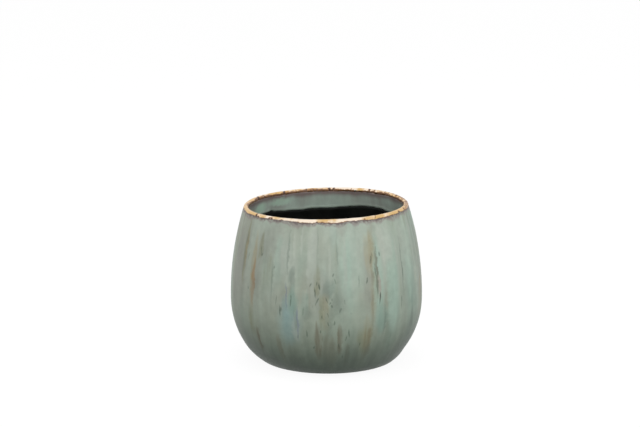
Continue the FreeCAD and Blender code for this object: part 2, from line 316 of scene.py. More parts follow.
@dataclass(frozen=True)
class Settling:
    """How the fired pot departs from a true turned form: a rim that waves and a heel that slid a little."""

    rim_wave: Table = (
        (0, 0.25), (30, 0.0), (60, -0.1), (90, -0.3), (106, -0.5), (116, 0.0), (130, 0.4), (148, 0.6),
        (162, 0.35), (176, 0.15), (195, 0.1), (215, -0.05), (238, 0.2), (255, -0.1), (285, 0.0), (330, 0.2),
    )
    wave_starts: float = 120 * MM
    heel_slide: float = 1.7 * MM
    slide_ends: float = 15 * MM

    def place(self, outline: Outline, skin: Skin, angle: np.ndarray) -> np.ndarray:
        """Turn a skin about the axis and settle it.

        Args:
            outline: the pot's section.
            skin: rows of places, one column for each angle.
            angle: the columns' angles in radians.

        Returns:
            Points as rows by columns by 3.
        """
        slide = self.heel_slide * ease(skin.height, self.slide_ends, 0)
        wave = MM * round_table(self.rim_wave, angle)
        lift = wave * ease(skin.height, self.wave_starts, outline.rim_rise - 2 * MM)
        return np.stack(
            [
                skin.radius * np.sin(angle) + slide,
                -skin.radius * np.cos(angle),
                skin.height + outline.base_edge + lift,
            ],
            axis=-1,
        )


@dataclass(frozen=True)
class Ripple:
    """A smooth seeded unevenness that closes on itself round the pot.

    Attributes:
        seed: what the waves are drawn from.
        around: how many times a usual wave goes round the pot.
        along: how many usual waves there are in a metre of height.
        waves: how many waves are added up.
    """

    seed: int
    around: float
    along: float
    waves: int = 24

    def at(self, angle: np.ndarray, height: Number = 0.0) -> np.ndarray:
        """Read the ripple, which swings mostly between -1 and 1.

        Args:
            angle: angles in radians.
            height: heights, or one height for all of them.

        Returns:
            The ripple at each place.
        """
        draw = np.random.default_rng(self.seed)
        total = np.zeros(np.broadcast(angle, height).shape)
        for _ in range(self.waves):
            turns = round(draw.normal(0, self.around))
            rate = 2 * math.pi * draw.normal(0, self.along)
            total = total + np.cos(turns * angle + rate * height + draw.uniform(0, 2 * math.pi))
        return total / math.sqrt(self.waves)


@dataclass
class TurnedMesh:
    """Rows of points round the pot, joined into a closed skin.

    Attributes:
        name: the piece's name.
        rows: points as rows by columns by 3.
        spread: where each row lies in the height of the UV map.
        poles: the first and last point on the axis, or nothing where the last row joins the first.
        fields: values of each point, by the name that the materials read.
    """

    name: str
    rows: np.ndarray
    spread: np.ndarray
    poles: tuple[Vector, Vector] | None
    fields: dict[str, np.ndarray]

    def build(self) -> bpy.types.Object:
        """Make the mesh and its object.

        Returns:
            The object, in the scene.
        """
        count, columns = self.rows.shape[:2]
        points = self.rows.reshape(-1, 3).tolist()
        last = count if self.poles is None else count - 1
        row, column = np.divmod(np.arange(last * columns), columns)
        above, right = (row + 1) % count, (column + 1) % columns
        ends = (row, column), (row, right), (above, right), (above, column)
        faces = np.stack([level * columns + side for level, side in ends], 1).tolist()
        across = np.stack([column, column + 1, column + 1, column], 1) / columns
        upwards = np.append(self.spread, 1.0)[np.stack([row, row, row + 1, row + 1], 1)]
        maps = np.stack([across, upwards], -1).reshape(-1, 2).tolist()
        if self.poles is not None:
            self._close(points, faces, maps)
        mesh = bpy.data.meshes.new(self.name)
        mesh.from_pydata(points, [], faces)
        mesh.polygons.foreach_set("use_smooth", [True] * len(faces))
        layer = mesh.uv_layers.new(name=UV_MAP)
        layer.data.foreach_set("uv", np.array(maps, np.float32).ravel())
        for field, values in self.fields.items():
            flat = np.zeros(len(points), np.float32)
            flat[: count * columns] = np.broadcast_to(values, (count, columns)).ravel()
            attribute = mesh.attributes.new(field, "FLOAT", "POINT")
            attribute.data.foreach_set("value", flat)
        mesh.validate()
        piece = bpy.data.objects.new(self.name, mesh)
        bpy.context.scene.collection.objects.link(piece)
        return piece

    def _close(
        self, points: list[list[float]], faces: list[list[int]], maps: list[list[float]]
    ) -> None:
        """Close both ends with a fan of triangles to the poles.

        Args:
            points: the points, to which the poles are added.
            faces: the faces, to which the triangles are added.
            maps: the corners' places in the UV map, to which those of the triangles are added.
        """
        count, columns = self.rows.shape[:2]
        first, last = len(points), len(points) + 1
        points += [list(pole) for pole in self.poles]
        low, high = self.spread[0], self.spread[-1]
        top = (count - 1) * columns
        for column in range(columns):
            right = (column + 1) % columns
            share, next_share = column / columns, (column + 1) / columns
            between = (share + next_share) / 2
            faces += [[first, right, column], [last, top + column, top + right]]
            maps += [[between, 0], [next_share, low], [share, low]]
            maps += [[between, 1], [share, high], [next_share, high]]


def ring(columns: int) -> np.ndarray:
    """The angles of the columns round the pot, in radians from the front."""
    return np.arange(columns) * 2 * math.pi / columns


# Shader nodes


class Graph:
    """Adds nodes to a node tree and links them; every value may be a number or another node's output."""

    def __init__(self, tree: bpy.types.NodeTree) -> None:
        """Start on a node tree."""
        self.tree = tree

    def feed(self, socket: bpy.types.NodeSocket, value: object) -> None:
        """Link a socket to an output, or set it.

        Args:
            socket: an input.
            value: a value, or another node's output.
        """
        if isinstance(value, bpy.types.NodeSocket):
            self.tree.links.new(value, socket)
        else:
            socket.default_value = value

    def wire(self, node: bpy.types.Node, *values: object) -> None:
        """Feed a node's first inputs, in their order."""
        for socket, value in zip(node.inputs, values):
            self.feed(socket, value)

    def add(self, kind: str, *values: object, **settings: object) -> bpy.types.Node:
        """Add a node, set its own options and feed its first inputs.

        Args:
            kind: the node's type.
            values: what its first inputs get.
            settings: its own options.

        Returns:
            The node.
        """
        node = self.tree.nodes.new(kind)
        for name, value in settings.items():
            setattr(node, name, value)
        self.wire(node, *values)
        return node

    def math(self, kind: str, *values: object) -> bpy.types.NodeSocket:
        """A Math node's result."""
        return self.add("ShaderNodeMath", *values, operation=kind).outputs[0]

    def product(self, first: object, *others: object) -> bpy.types.NodeSocket:
        """Values multiplied with each other, in their order.

        Args:
            first: the first value.
            others: the values that it is multiplied with.

        Returns:
            The product.
        """
        for other in others:
            first = self.math("MULTIPLY", first, other)
        return first

    def line(self, value: object, slope: object, start: object) -> bpy.types.NodeSocket:
        """A value times a slope, plus a start."""
        return self.math("MULTIPLY_ADD", value, slope, start)

    def vector(self, kind: str, first: object, last: object) -> bpy.types.NodeSocket:
        """A Vector Math node's result."""
        return self.add("ShaderNodeVectorMath", first, last, operation=kind).outputs[0]

    def drawn_out(self, place: object, stretch: object) -> bpy.types.NodeSocket:
        """A place squeezed in height, so that what is read there comes out drawn out upright."""
        squeeze = self.add("ShaderNodeCombineXYZ", 1.0, 1.0, stretch).outputs[0]
        return self.vector("MULTIPLY", place, squeeze)

    def step(
        self, value: object, low: object, high: object, to_low: object = 0.0, to_high: object = 1.0
    ) -> bpy.types.NodeSocket:
        """A smooth step of a value, as a Map Range node gives it."""
        values = value, low, high, to_low, to_high
        return self.add("ShaderNodeMapRange", *values, interpolation_type="SMOOTHSTEP").outputs[0]

    def mix(self, share: object, first: object, last: object, kind: str = "MIX") -> bpy.types.NodeSocket:
        """A colour between two colours.

        Args:
            share: how much of the last colour there is.
            first: the first colour.
            last: the last colour.
            kind: how they are blended.

        Returns:
            The colour.
        """
        node = self.add("ShaderNodeMix", share, data_type="RGBA", blend_type=kind, clamp_factor=True)
        self.feed(node.inputs[6], first)
        self.feed(node.inputs[7], last)
        return node.outputs[2]

    def shade(self, colour: object, level: object) -> bpy.types.NodeSocket:
        """A colour times a grey of some level."""
        grey = self.add("ShaderNodeCombineColor", level, level, level).outputs[0]
        return self.mix(1.0, colour, grey, kind="MULTIPLY")

    def blend(self, share: object, first: object, last: object) -> bpy.types.NodeSocket:
        """A shader between two shaders."""
        return self.add("ShaderNodeMixShader", share, first, last).outputs[0]

    def object_place(self) -> bpy.types.NodeSocket:
        """Where a place lies on the object."""
        return self.add("ShaderNodeTexCoord").outputs["Object"]

    def noise(
        self, place: object, scale: object, detail: float = 3.0, rough: float = 0.55, bend: float = 0.0
    ) -> bpy.types.NodeSocket:
        """Smooth noise from 0 to 1 at a place.

        Args:
            place: where the noise is read.
            scale: how fine it is, in waves to a metre.
            detail: how many finer waves it has.
            rough: how strong they are.
            bend: how much it is bent.

        Returns:
            The noise.
        """
        node = self.add("ShaderNodeTexNoise")
        given = {"Vector": place, "Scale": scale, "Detail": detail, "Roughness": rough, "Distortion": bend}
        for name, value in given.items():
            self.feed(node.inputs[name], value)
        return node.outputs[0]

    def cells(self, place: object, scale: object) -> bpy.types.Node:
        """Scattered cells at a place.

        Args:
            place: where the cells are read.
            scale: how many there are to a metre.

        Returns:
            The node.
        """
        node = self.add("ShaderNodeTexVoronoi")
        self.feed(node.inputs["Vector"], place)
        self.feed(node.inputs["Scale"], scale)
        return node

    def attribute(self, name: str) -> bpy.types.NodeSocket:
        """A value that the mesh holds at each point."""
        return self.add("ShaderNodeAttribute", attribute_name=name).outputs["Fac"]

    def call(self, group: bpy.types.NodeTree, **values: object) -> bpy.types.Node:
        """Place a node group and feed its inputs.

        Args:
            group: the node group.
            values: what its inputs get; an underscore in a name stands for a space.

        Returns:
            The node.
        """
        node = self.add("ShaderNodeGroup", node_tree=group)
        for name, value in values.items():
            self.feed(node.inputs[name.replace("_", " ")], value)
        return node


def make_group(
    name: str, inputs: dict[str, float | None], outputs: dict[str, str]
) -> tuple[bpy.types.NodeTree, Graph, bpy.types.Node, bpy.types.Node]:
    """Start a shader node group.

    Args:
        name: the group's name.
        inputs: each input's name with its usual value, or None for a vector.
        outputs: each output's name with its kind of socket.

    Returns:
        The group's tree, a graph on it, and its input and output nodes.
    """
    tree = bpy.data.node_groups.new(name, "ShaderNodeTree")
    for label, value in inputs.items():
        kind = "NodeSocketVector" if value is None else "NodeSocketFloat"
        socket = tree.interface.new_socket(label, in_out="INPUT", socket_type=kind)
        if value is not None:
            socket.default_value = value
    for label, kind in outputs.items():
        tree.interface.new_socket(label, in_out="OUTPUT", socket_type=kind)
    graph = Graph(tree)
    return tree, graph, graph.add("NodeGroupInput"), graph.add("NodeGroupOutput")


class Effects:
    """The node groups that the finishes share."""

    def __init__(self) -> None:
        """Build every group once."""
        self.wrap = self._wrap()
        self.streaks = self._streaks()
        self.mark = self._mark()
        self.flecks = self._flecks()
        self.fringe = self._fringe()

    def upright(
        self, graph: Graph, around: object, width: float, stretch: float, shift: float
    ) -> tuple[bpy.types.NodeSocket, bpy.types.NodeSocket]:
        """Place the upright streaks.

        Args:
            graph: the material's graph.
            around: seam-free coordinates round the pot.
            width: how wide they are, in millimetres.
            stretch: how much they are drawn out downwards; a smaller number draws them out more.
            shift: where their noise is read.

        Returns:
            Their mask and their noise.
        """
        streaks = graph.call(self.streaks, Around=around, Width=width, Stretch=stretch, Shift=shift)
        return streaks.outputs["Mask"], streaks.outputs["Noise"]

    @staticmethod
    def _wrap() -> bpy.types.NodeTree:
        """Where a place lies round the pot, as seam-free coordinates, an angle and a height.

        Returns:
            The node group.
        """
        outputs = {"Around": "NodeSocketVector", "Angle": "NodeSocketFloat", "Height": "NodeSocketFloat"}
        tree, graph, _, out = make_group("pot wrap", {}, outputs)
        x, y, z = graph.add("ShaderNodeSeparateXYZ", graph.object_place()).outputs
        square = graph.math("ADD", graph.product(x, x), graph.product(y, y))
        radius = graph.math("MAXIMUM", graph.math("SQRT", square), MM)
        belly = 100 * MM
        level = (graph.product(graph.math("DIVIDE", side, radius), belly) for side in (x, y))
        around = graph.add("ShaderNodeCombineXYZ", *level, z).outputs[0]
        angle = graph.math("ARCTAN2", x, graph.product(y, -1.0))
        graph.wire(out, around, graph.math("DEGREES", angle), graph.math("DIVIDE", z, MM))
        return tree

    @staticmethod
    def _streaks() -> bpy.types.NodeTree:
        """Upright streaks of a width in millimetres, drawn out down the pot.

        Returns:
            The node group.
        """
        tree, graph, given, out = make_group(
            "upright streaks",
            {"Around": None, "Width": 6.0, "Stretch": 0.1, "Shift": 0.0, "Low": 0.35, "High": 0.65},
            {"Mask": "NodeSocketFloat", "Noise": "NodeSocketFloat"},
        )
        around, width, stretch, shift, low, high = given.outputs[:6]
        moved = graph.vector("ADD", graph.drawn_out(around, stretch), shift)
        noise = graph.noise(moved, graph.math("DIVIDE", 0.5 / MM, width), detail=2.5, rough=0.5, bend=0.15)
        graph.wire(out, graph.step(noise, low, high), noise)
        return tree

    @staticmethod
    def _mark() -> bpy.types.NodeTree:
        """One soft mark at an angle and a height, its ends and its cover broken by a bristle noise.

        Returns:
            The node group.
        """
        tree, graph, given, out = make_group(
            "placed mark",
            {
                "Angle": 0.0, "Height": 0.0, "Bristle": 0.5, "Middle Angle": 0.0, "Middle Height": 80.0,
                "Half Width": 2.0, "Half Height": 10.0, "Ragged": 20.0, "Softness": 0.1, "Grain": 0.5,
                "Square": 4.0,
            },
            {"Mask": "NodeSocketFloat"},
        )
        value = given.outputs
        across = graph.math("SUBTRACT", value["Angle"], value["Middle Angle"])
        across = graph.math("DIVIDE", across, value["Half Width"])
        swing = graph.math("SUBTRACT", value["Bristle"], 0.5)
        height = graph.line(swing, value["Ragged"], value["Height"])
        along = graph.math("SUBTRACT", height, value["Middle Height"])
        along = graph.math("ABSOLUTE", graph.math("DIVIDE", along, value["Half Height"]))
        far = graph.line(across, across, graph.math("POWER", along, value["Square"]))
        near = graph.step(far, 1.0, value["Softness"])
        cover = graph.step(value["Bristle"], 0.62, 0.4, graph.math("SUBTRACT", 1.0, value["Grain"]), 1.0)
        graph.wire(out, graph.product(near, cover))
        return tree

    @staticmethod
    def _flecks() -> bpy.types.NodeTree:
        """Scattered short upright dashes, a spacing in millimetres apart.

        Returns:
            The node group.
        """
        tree, graph, given, out = make_group(
            "flecks",
            {"Around": None, "Spacing": 8.0, "Stretch": 0.3, "Size": 0.2, "Share": 0.5},
            {"Mask": "NodeSocketFloat"},
        )
        around, spacing, stretch, largest, share = given.outputs[:5]
        cells = graph.cells(graph.drawn_out(around, stretch), graph.math("DIVIDE", 1 / MM, spacing))
        draw = graph.add("ShaderNodeSeparateColor", cells.outputs["Color"]).outputs
        size = graph.product(largest, draw[1])
        near = graph.step(cells.outputs["Distance"], size, graph.product(size, 0.4))
        graph.wire(out, graph.product(near, graph.math("LESS_THAN", draw[0], share)))
        return tree

    @staticmethod
    def _fringe() -> bpy.types.NodeTree:
        """A ragged mask that hangs from an edge, for the stain and the painted shadow under the gold band.

        Returns:
            The node group.
        """
        tree, graph, given, out = make_group(
            "fringe",
            {"Drop": 0.0, "Edge": 3.4, "Noise": 0.5, "Reach": 6.0},
            {"Mask": "NodeSocketFloat"},
        )
        drop, edge, noise, farthest = given.outputs[:4]
        reach = graph.product(farthest, graph.step(noise, 0.28, 0.66))
        graph.wire(out, graph.step(drop, graph.math("ADD", edge, reach), graph.line(reach, 0.3, edge)))
        return tree


def empty_material(name: str) -> tuple[bpy.types.Material, Graph]:
    """Start a material that has no nodes yet.

    Args:
        name: the material's name.

    Returns:
        The material and a graph on its tree.
    """
    material = bpy.data.materials.new(name)
    material.use_nodes = True
    material.node_tree.nodes.clear()
    return material, Graph(material.node_tree)


def new_material(
    name: str, specular: float = 0.5, sheen: float = 0.0
) -> tuple[bpy.types.Material, Graph, bpy.types.Node]:
    """Start a material with one Principled shader.

    Args:
        name: the material's name.
        specular: the shader's specular level.
        sheen: the weight of its sheen.

    Returns:
        The material, a graph on its tree, and the shader.
    """
    material, graph = empty_material(name)
    shader = graph.add("ShaderNodeBsdfPrincipled")
    graph.add("ShaderNodeOutputMaterial", shader.outputs[0])
    shader.inputs["Specular IOR Level"].default_value = specular
    shader.inputs["Sheen Weight"].default_value = sheen
    return material, graph, shader


def cover(
    graph: Graph, shader: bpy.types.Node, colour: object, roughness: object, relief: object, depth: float
) -> None:
    """Feed a shader what changes over the surface.

    Args:
        graph: the material's graph.
        shader: its Principled shader.
        colour: the base colour.
        roughness: the roughness.
        relief: the height of the relief, from 0 to 1.
        depth: how deep the relief is, in metres.
    """
    bump = graph.add("ShaderNodeBump")
    for name, value in {"Strength": 1.0, "Distance": depth, "Height": relief}.items():
        graph.feed(bump.inputs[name], value)
    for name, value in {"Base Color": colour, "Roughness": roughness, "Normal": bump.outputs[0]}.items():
        graph.feed(shader.inputs[name], value)


class Pigment(Enum):
    """The colours that show in the fired glaze."""

    MINT = tone(168, 190, 175)
    PALE = tone(178, 186, 174)
    GREY = tone(146, 147, 137)
    TEAL = tone(132, 160, 147)
    BLUE = tone(140, 172, 172)
    # a darker grey-green of the glaze; its patch low on the right, in CLEARINGS, is painted shade
    SHADE = tone(126, 139, 128)
    OLIVE = tone(136, 138, 108)
    OCHRE = tone(160, 145, 106)
    RUST = tone(154, 112, 72)
    BROWN = tone(108, 96, 76)
    VIOLET = tone(112, 118, 146)
    PINK = tone(168, 146, 136)
    FLECK = tone(66, 84, 72)


@dataclass(frozen=True)
class Brush:
    """How a mark's ends and its cover break up.

    Attributes:
        ragged: how far its ends are drawn out, in millimetres.
        softness: how much of it fades: 0 for all of it, 1 for a sharp edge.
        grain: how much of the cover the bristles take away.
        square: the power of its lengthwise falloff: 2 for an ellipse, more for blunt ends.
    """

    ragged: float
    softness: float
    grain: float
    square: float


class Stroke(Enum):
    """The kinds of mark that the kiln leaves."""

    PATCH = Brush(ragged=50, softness=0.0, grain=0.3, square=2)
    STREAK = Brush(ragged=30, softness=0.0, grain=0.6, square=3)
    FLECK = Brush(ragged=12, softness=0.0, grain=0.55, square=2)


@dataclass(frozen=True)
class Mark:
    """A mark in the glaze at the pot's front.

    Attributes:
        stroke: what kind it is.
        pigment: its colour.
        angle: its middle, in degrees from the front.
        low: its lower end in millimetres above the floor.
        high: its upper end.
        width: its whole width in millimetres at the belly.
        strength: how much it covers.
        lean: how many degrees it turns to the right for each millimetre upwards.
    """

    stroke: Stroke
    pigment: Pigment
    angle: float
    low: float
    high: float
    width: float
    strength: float
    lean: float = 0.0


def marks(stroke: Stroke, *groups: tuple[Pigment | tuple[float, ...], ...]) -> tuple[Mark, ...]:
    """Marks of one kind.

    Args:
        stroke: the kind.
        groups: a pigment and its marks, each with an angle, low, high, width, strength and perhaps a lean.

    Returns:
        The marks, in the order in which they are laid on.
    """
    return tuple(Mark(stroke, pigment, *row) for pigment, *rows in groups for row in rows)


PATCHES = marks(
    Stroke.PATCH,
    (Pigment.GREY, (-66, 10, 178, 40, 0.7), (-47, 60, 165, 18, 0.6), (-43, 20, 80, 30, 0.5),
        (-4, 60, 120, 26, 0.5), (25, 60, 155, 15, 0.6), (55, 110, 165, 12, 0.2)),
    (Pigment.MINT, (58, 60, 150, 26, 0.55)),
    (Pigment.TEAL, (-13, 66, 102, 12, 0.7)),
    (Pigment.MINT, (-20, 95, 150, 30, 0.5), (-10, 110, 150, 16, 0.3), (14.5, 60, 165, 22, 0.75),
        (43, 60, 165, 26, 0.85), (33.5, 62, 150, 13, 0.75), (42, 56, 106, 18, 0.6)),
    (Pigment.TEAL, (62, 15, 130, 34, 0.85), (43, 12, 92, 26, 0.85), (14, 12, 60, 20, 0.3),
        (-60, 40, 100, 12, 0.35)),
    (Pigment.BLUE, (-22, 28, 96, 34, 1.0)),
    (Pigment.SHADE, (0.7, 84, 106, 15, 0.55), (-20.5, 88, 116, 9, 0.5), (9, 62, 92, 10, 0.4),
        (-12, 62, 90, 9, 0.35)),
    (Pigment.OLIVE, (-0.4, 40, 95, 20, 0.3), (24, 22, 70, 22, 0.45), (-6, 12, 60, 20, 0.35)),
    (Pigment.BROWN, (1, 0, 56, 30, 0.6), (22, 6, 46, 22, 0.4), (-52, 2, 36, 26, 0.5)),
    (Pigment.PALE, (-8.8, 112, 160, 14, 0.5)),
    (Pigment.GREY, (-31, 140, 166, 16, 0.5), (10, 150, 166, 18, 0.5)),
    (Pigment.OLIVE, (-46, 20, 75, 18, 0.4)),
)
CLEARINGS = marks(
    Stroke.PATCH,
    (Pigment.MINT, (32, 50, 156, 17, 0.8), (43.5, 52, 126, 22, 0.8), (59, 78, 136, 16, 0.5),
        (11, 82, 152, 18, 0.6)),
    (Pigment.PALE, (-9, 82, 156, 16, 0.55)),
    (Pigment.BLUE, (-22, 34, 88, 24, 0.4)),
    (Pigment.MINT, (-29.5, 100, 150, 18, 0.5), (21, 96, 134, 14, 0.35)),
    (Pigment.GREY, (-40, 112, 166, 30, 0.45)),
    (Pigment.OCHRE, (27.5, 112, 158, 17, 0.3)),
    (Pigment.OLIVE, (23, 30, 66, 22, 0.6)),
    (Pigment.PALE, (-24, 100, 146, 30, 0.8), (40, 118, 166, 28, 0.8), (-9, 128, 166, 17, 0.6)),
    (Pigment.MINT, (3, 84, 104, 9, 0.3)),
    (Pigment.TEAL, (-19.5, 66, 110, 14, 0.95)),
    (Pigment.SHADE, (1.3, 80, 110, 17, 0.5), (5.5, 64, 86, 14, 0.4), (-11.5, 62, 86, 13, 0.4),
        (1, 46, 78, 13, 0.4)),
    (Pigment.BROWN, (2, 16, 54, 24, 0.4)),
    (Pigment.TEAL, (34, 40, 86, 18, 0.7)),
    (Pigment.MINT, (42, 40, 84, 18, 0.8)),
    (Pigment.PALE, (-18, 38, 74, 12, 0.5)),
    # painted shade: a dark patch low on the right side, where the pot turns away from the light
    (Pigment.SHADE, (61, 28, 70, 15, 0.8)),
)
STREAKS = marks(
    Stroke.STREAK,
    (Pigment.RUST, (-48.8, 74, 122, 7, 0.85)),
    (Pigment.OCHRE, (-49.6, 60, 150, 10, 0.5)),
    (Pigment.OLIVE, (-60, 88, 158, 7, 0.7)),
    (Pigment.OCHRE, (-59, 104, 150, 5, 0.4)),
    (Pigment.OLIVE, (-45, 116, 150, 9, 0.5), (-36, 92, 132, 12, 0.3)),
    (Pigment.OCHRE, (27, 106, 158, 16, 0.35), (28.4, 60, 118, 10, 0.28)),
    (Pigment.BROWN, (28, 40, 132, 5, 0.2), (31.4, 82, 138, 5, 0.6)),
    (Pigment.OLIVE, (-5.4, 88, 126, 8, 0.85)),
    (Pigment.PINK, (33, 82, 106, 5, 0.5)),
    (Pigment.OCHRE, (-0.4, 50, 98, 10, 0.25)),
    (Pigment.OLIVE, (-3, 58, 96, 6, 0.5)),
    (Pigment.BROWN, (-4.8, 20, 68, 11, 0.75), (8, 24, 66, 7, 0.7), (25.5, 14, 58, 12, 0.45)),
    (Pigment.OCHRE, (25, 30, 70, 18, 0.2)),
    (Pigment.BROWN, (-46, 18, 60, 8, 0.75)),
    (Pigment.OLIVE, (-50, 40, 80, 12, 0.6)),
    (Pigment.BROWN, (-30, 10, 50, 8, 0.4), (13, 10, 44, 7, 0.4)),
    (Pigment.VIOLET, (-16.7, 46, 84, 3, 0.75), (-24, 74, 100, 2.5, 0.4)),
    (Pigment.PALE, (-28, 108, 150, 5, 0.6), (-20, 116, 158, 4, 0.6), (-15.5, 122, 160, 3.5, 0.6),
        (-11, 96, 150, 4.5, 0.6), (2, 106, 152, 4, 0.6), (11, 92, 150, 7, 0.6), (19, 110, 156, 6, 0.5),
        (38, 104, 158, 6, 0.6), (48, 84, 150, 5, 0.5)),
    (Pigment.SHADE, (-24, 104, 160, 3.5, 0.5), (-5.5, 112, 160, 3, 0.35), (6.5, 116, 162, 3, 0.5),
        (-34, 70, 130, 3.5, 0.5), (36, 40, 90, 3.5, 0.5), (52, 80, 150, 3, 0.5), (-18, 52, 90, 5, 0.7),
        (-21, 98, 118, 10, 0.6)),
)
FLECKS = marks(
    Stroke.FLECK,
    (Pigment.FLECK, (27.8, 121, 130, 2.8, 0.85, 0.14), (28.6, 128, 135, 1.6, 0.6, -0.09),
        (-4.2, 96, 106, 2.2, 0.85, -0.11), (-5.6, 101, 107, 1.6, 0.7, 0.14), (52.3, 99, 117, 1.8, 0.8, 0),
        (49.8, 68, 86, 1.7, 0.6, 0.04), (32.8, 78, 92, 2.2, 0.85, 0.06),
        (30.2, 106, 124, 1.6, 0.75, -0.05), (31.4, 90, 106, 1.5, 0.5, 0.05),
        (24.6, 101, 110, 2.8, 0.85, 0.14), (19.4, 98, 112, 1.4, 0.6, 0.02),
        (4.0, 110, 116, 2.2, 0.8, 0.14), (4.9, 105, 111, 1.8, 0.7, -0.14),
        (-6.6, 88, 100, 1.8, 0.75, -0.05), (-5.4, 84, 89, 2.4, 0.7, 0.23),
        (-9.4, 99, 105, 2.2, 0.5, 0.18), (0.2, 84, 90, 2.0, 0.6, -0.23), (2.4, 82, 88, 2.4, 0.6, 0.23),
        (-27.9, 66, 82, 2.0, 0.8, -0.05), (-30.5, 78, 90, 1.4, 0.5, 0.05), (-21, 78, 92, 2.0, 0.8, 0.04),
        (4.8, 61, 68, 2.2, 0.7, 0.11), (1.2, 59, 65, 1.8, 0.55, -0.14), (-2.5, 67, 75, 2.1, 0.7, 0.07),
        (0.8, 70, 76, 1.6, 0.6, -0.18), (13.2, 48, 58, 2.3, 0.75, -0.09), (11.6, 44, 50, 1.8, 0.6, 0.14),
        (-11.5, 48, 58, 2.4, 0.75, -0.07), (-16.8, 46, 52, 1.8, 0.6, 0.14),
        (-44, 124, 136, 2.1, 0.65, -0.05), (-43, 124, 130, 1.8, 0.6, 0.18),
        (3.2, 78, 84, 3.2, 0.55, 0.09), (-13.5, 71, 81, 3.0, 0.4, 0.05), (8, 73, 81, 2.4, 0.5, 0.14),
        (14.5, 72, 76, 2.8, 0.4, 0.27), (10.5, 82, 90, 1.6, 0.4, -0.09), (-7.6, 34, 40, 2.6, 0.6, 0.14),
        (7.6, 34, 42, 2.0, 0.6, -0.09), (20.5, 36, 44, 1.8, 0.5, 0.09), (-55.4, 118, 128, 1.4, 0.6, 0.07),
        (-60.5, 132, 146, 1.4, 0.5, 0.05)),
)
BELLY_MM_PER_DEGREE = 2 * math.pi * 100 / 360


@dataclass(frozen=True)
class KilnStreaks:
    """Marks that a noise scatters over the rest of the pot.

    Attributes:
        pigment: their colour.
        width: how wide a usual one is, in millimetres.
        stretch: how much the noise is drawn out downwards; a smaller number draws it out more.
        shift: where the noise is read.
        low: the noise where a mark starts.
        high: the noise where it covers fully.
        strength: how much it covers.
    """

    pigment: Pigment
    width: float
    stretch: float
    shift: float
    low: float
    high: float
    strength: float


SCATTERED = (
    KilnStreaks(Pigment.GREY, 24.0, 0.35, 1.7, 0.45, 0.62, 0.6),
    KilnStreaks(Pigment.MINT, 15.0, 0.25, 2.9, 0.48, 0.66, 0.75),
    KilnStreaks(Pigment.TEAL, 17.0, 0.3, 3.3, 0.54, 0.72, 0.6),
    KilnStreaks(Pigment.BLUE, 14.0, 0.35, 9.1, 0.62, 0.74, 0.6),
    KilnStreaks(Pigment.OLIVE, 9.0, 0.2, 4.1, 0.56, 0.7, 0.6),
    KilnStreaks(Pigment.OCHRE, 6.0, 0.14, 5.3, 0.57, 0.7, 0.7),
    KilnStreaks(Pigment.RUST, 4.2, 0.13, 6.7, 0.64, 0.75, 0.8),
    KilnStreaks(Pigment.BROWN, 4.0, 0.13, 7.9, 0.6, 0.72, 0.6),
    KilnStreaks(Pigment.PALE, 3.6, 0.1, 8.3, 0.56, 0.7, 0.5),
)


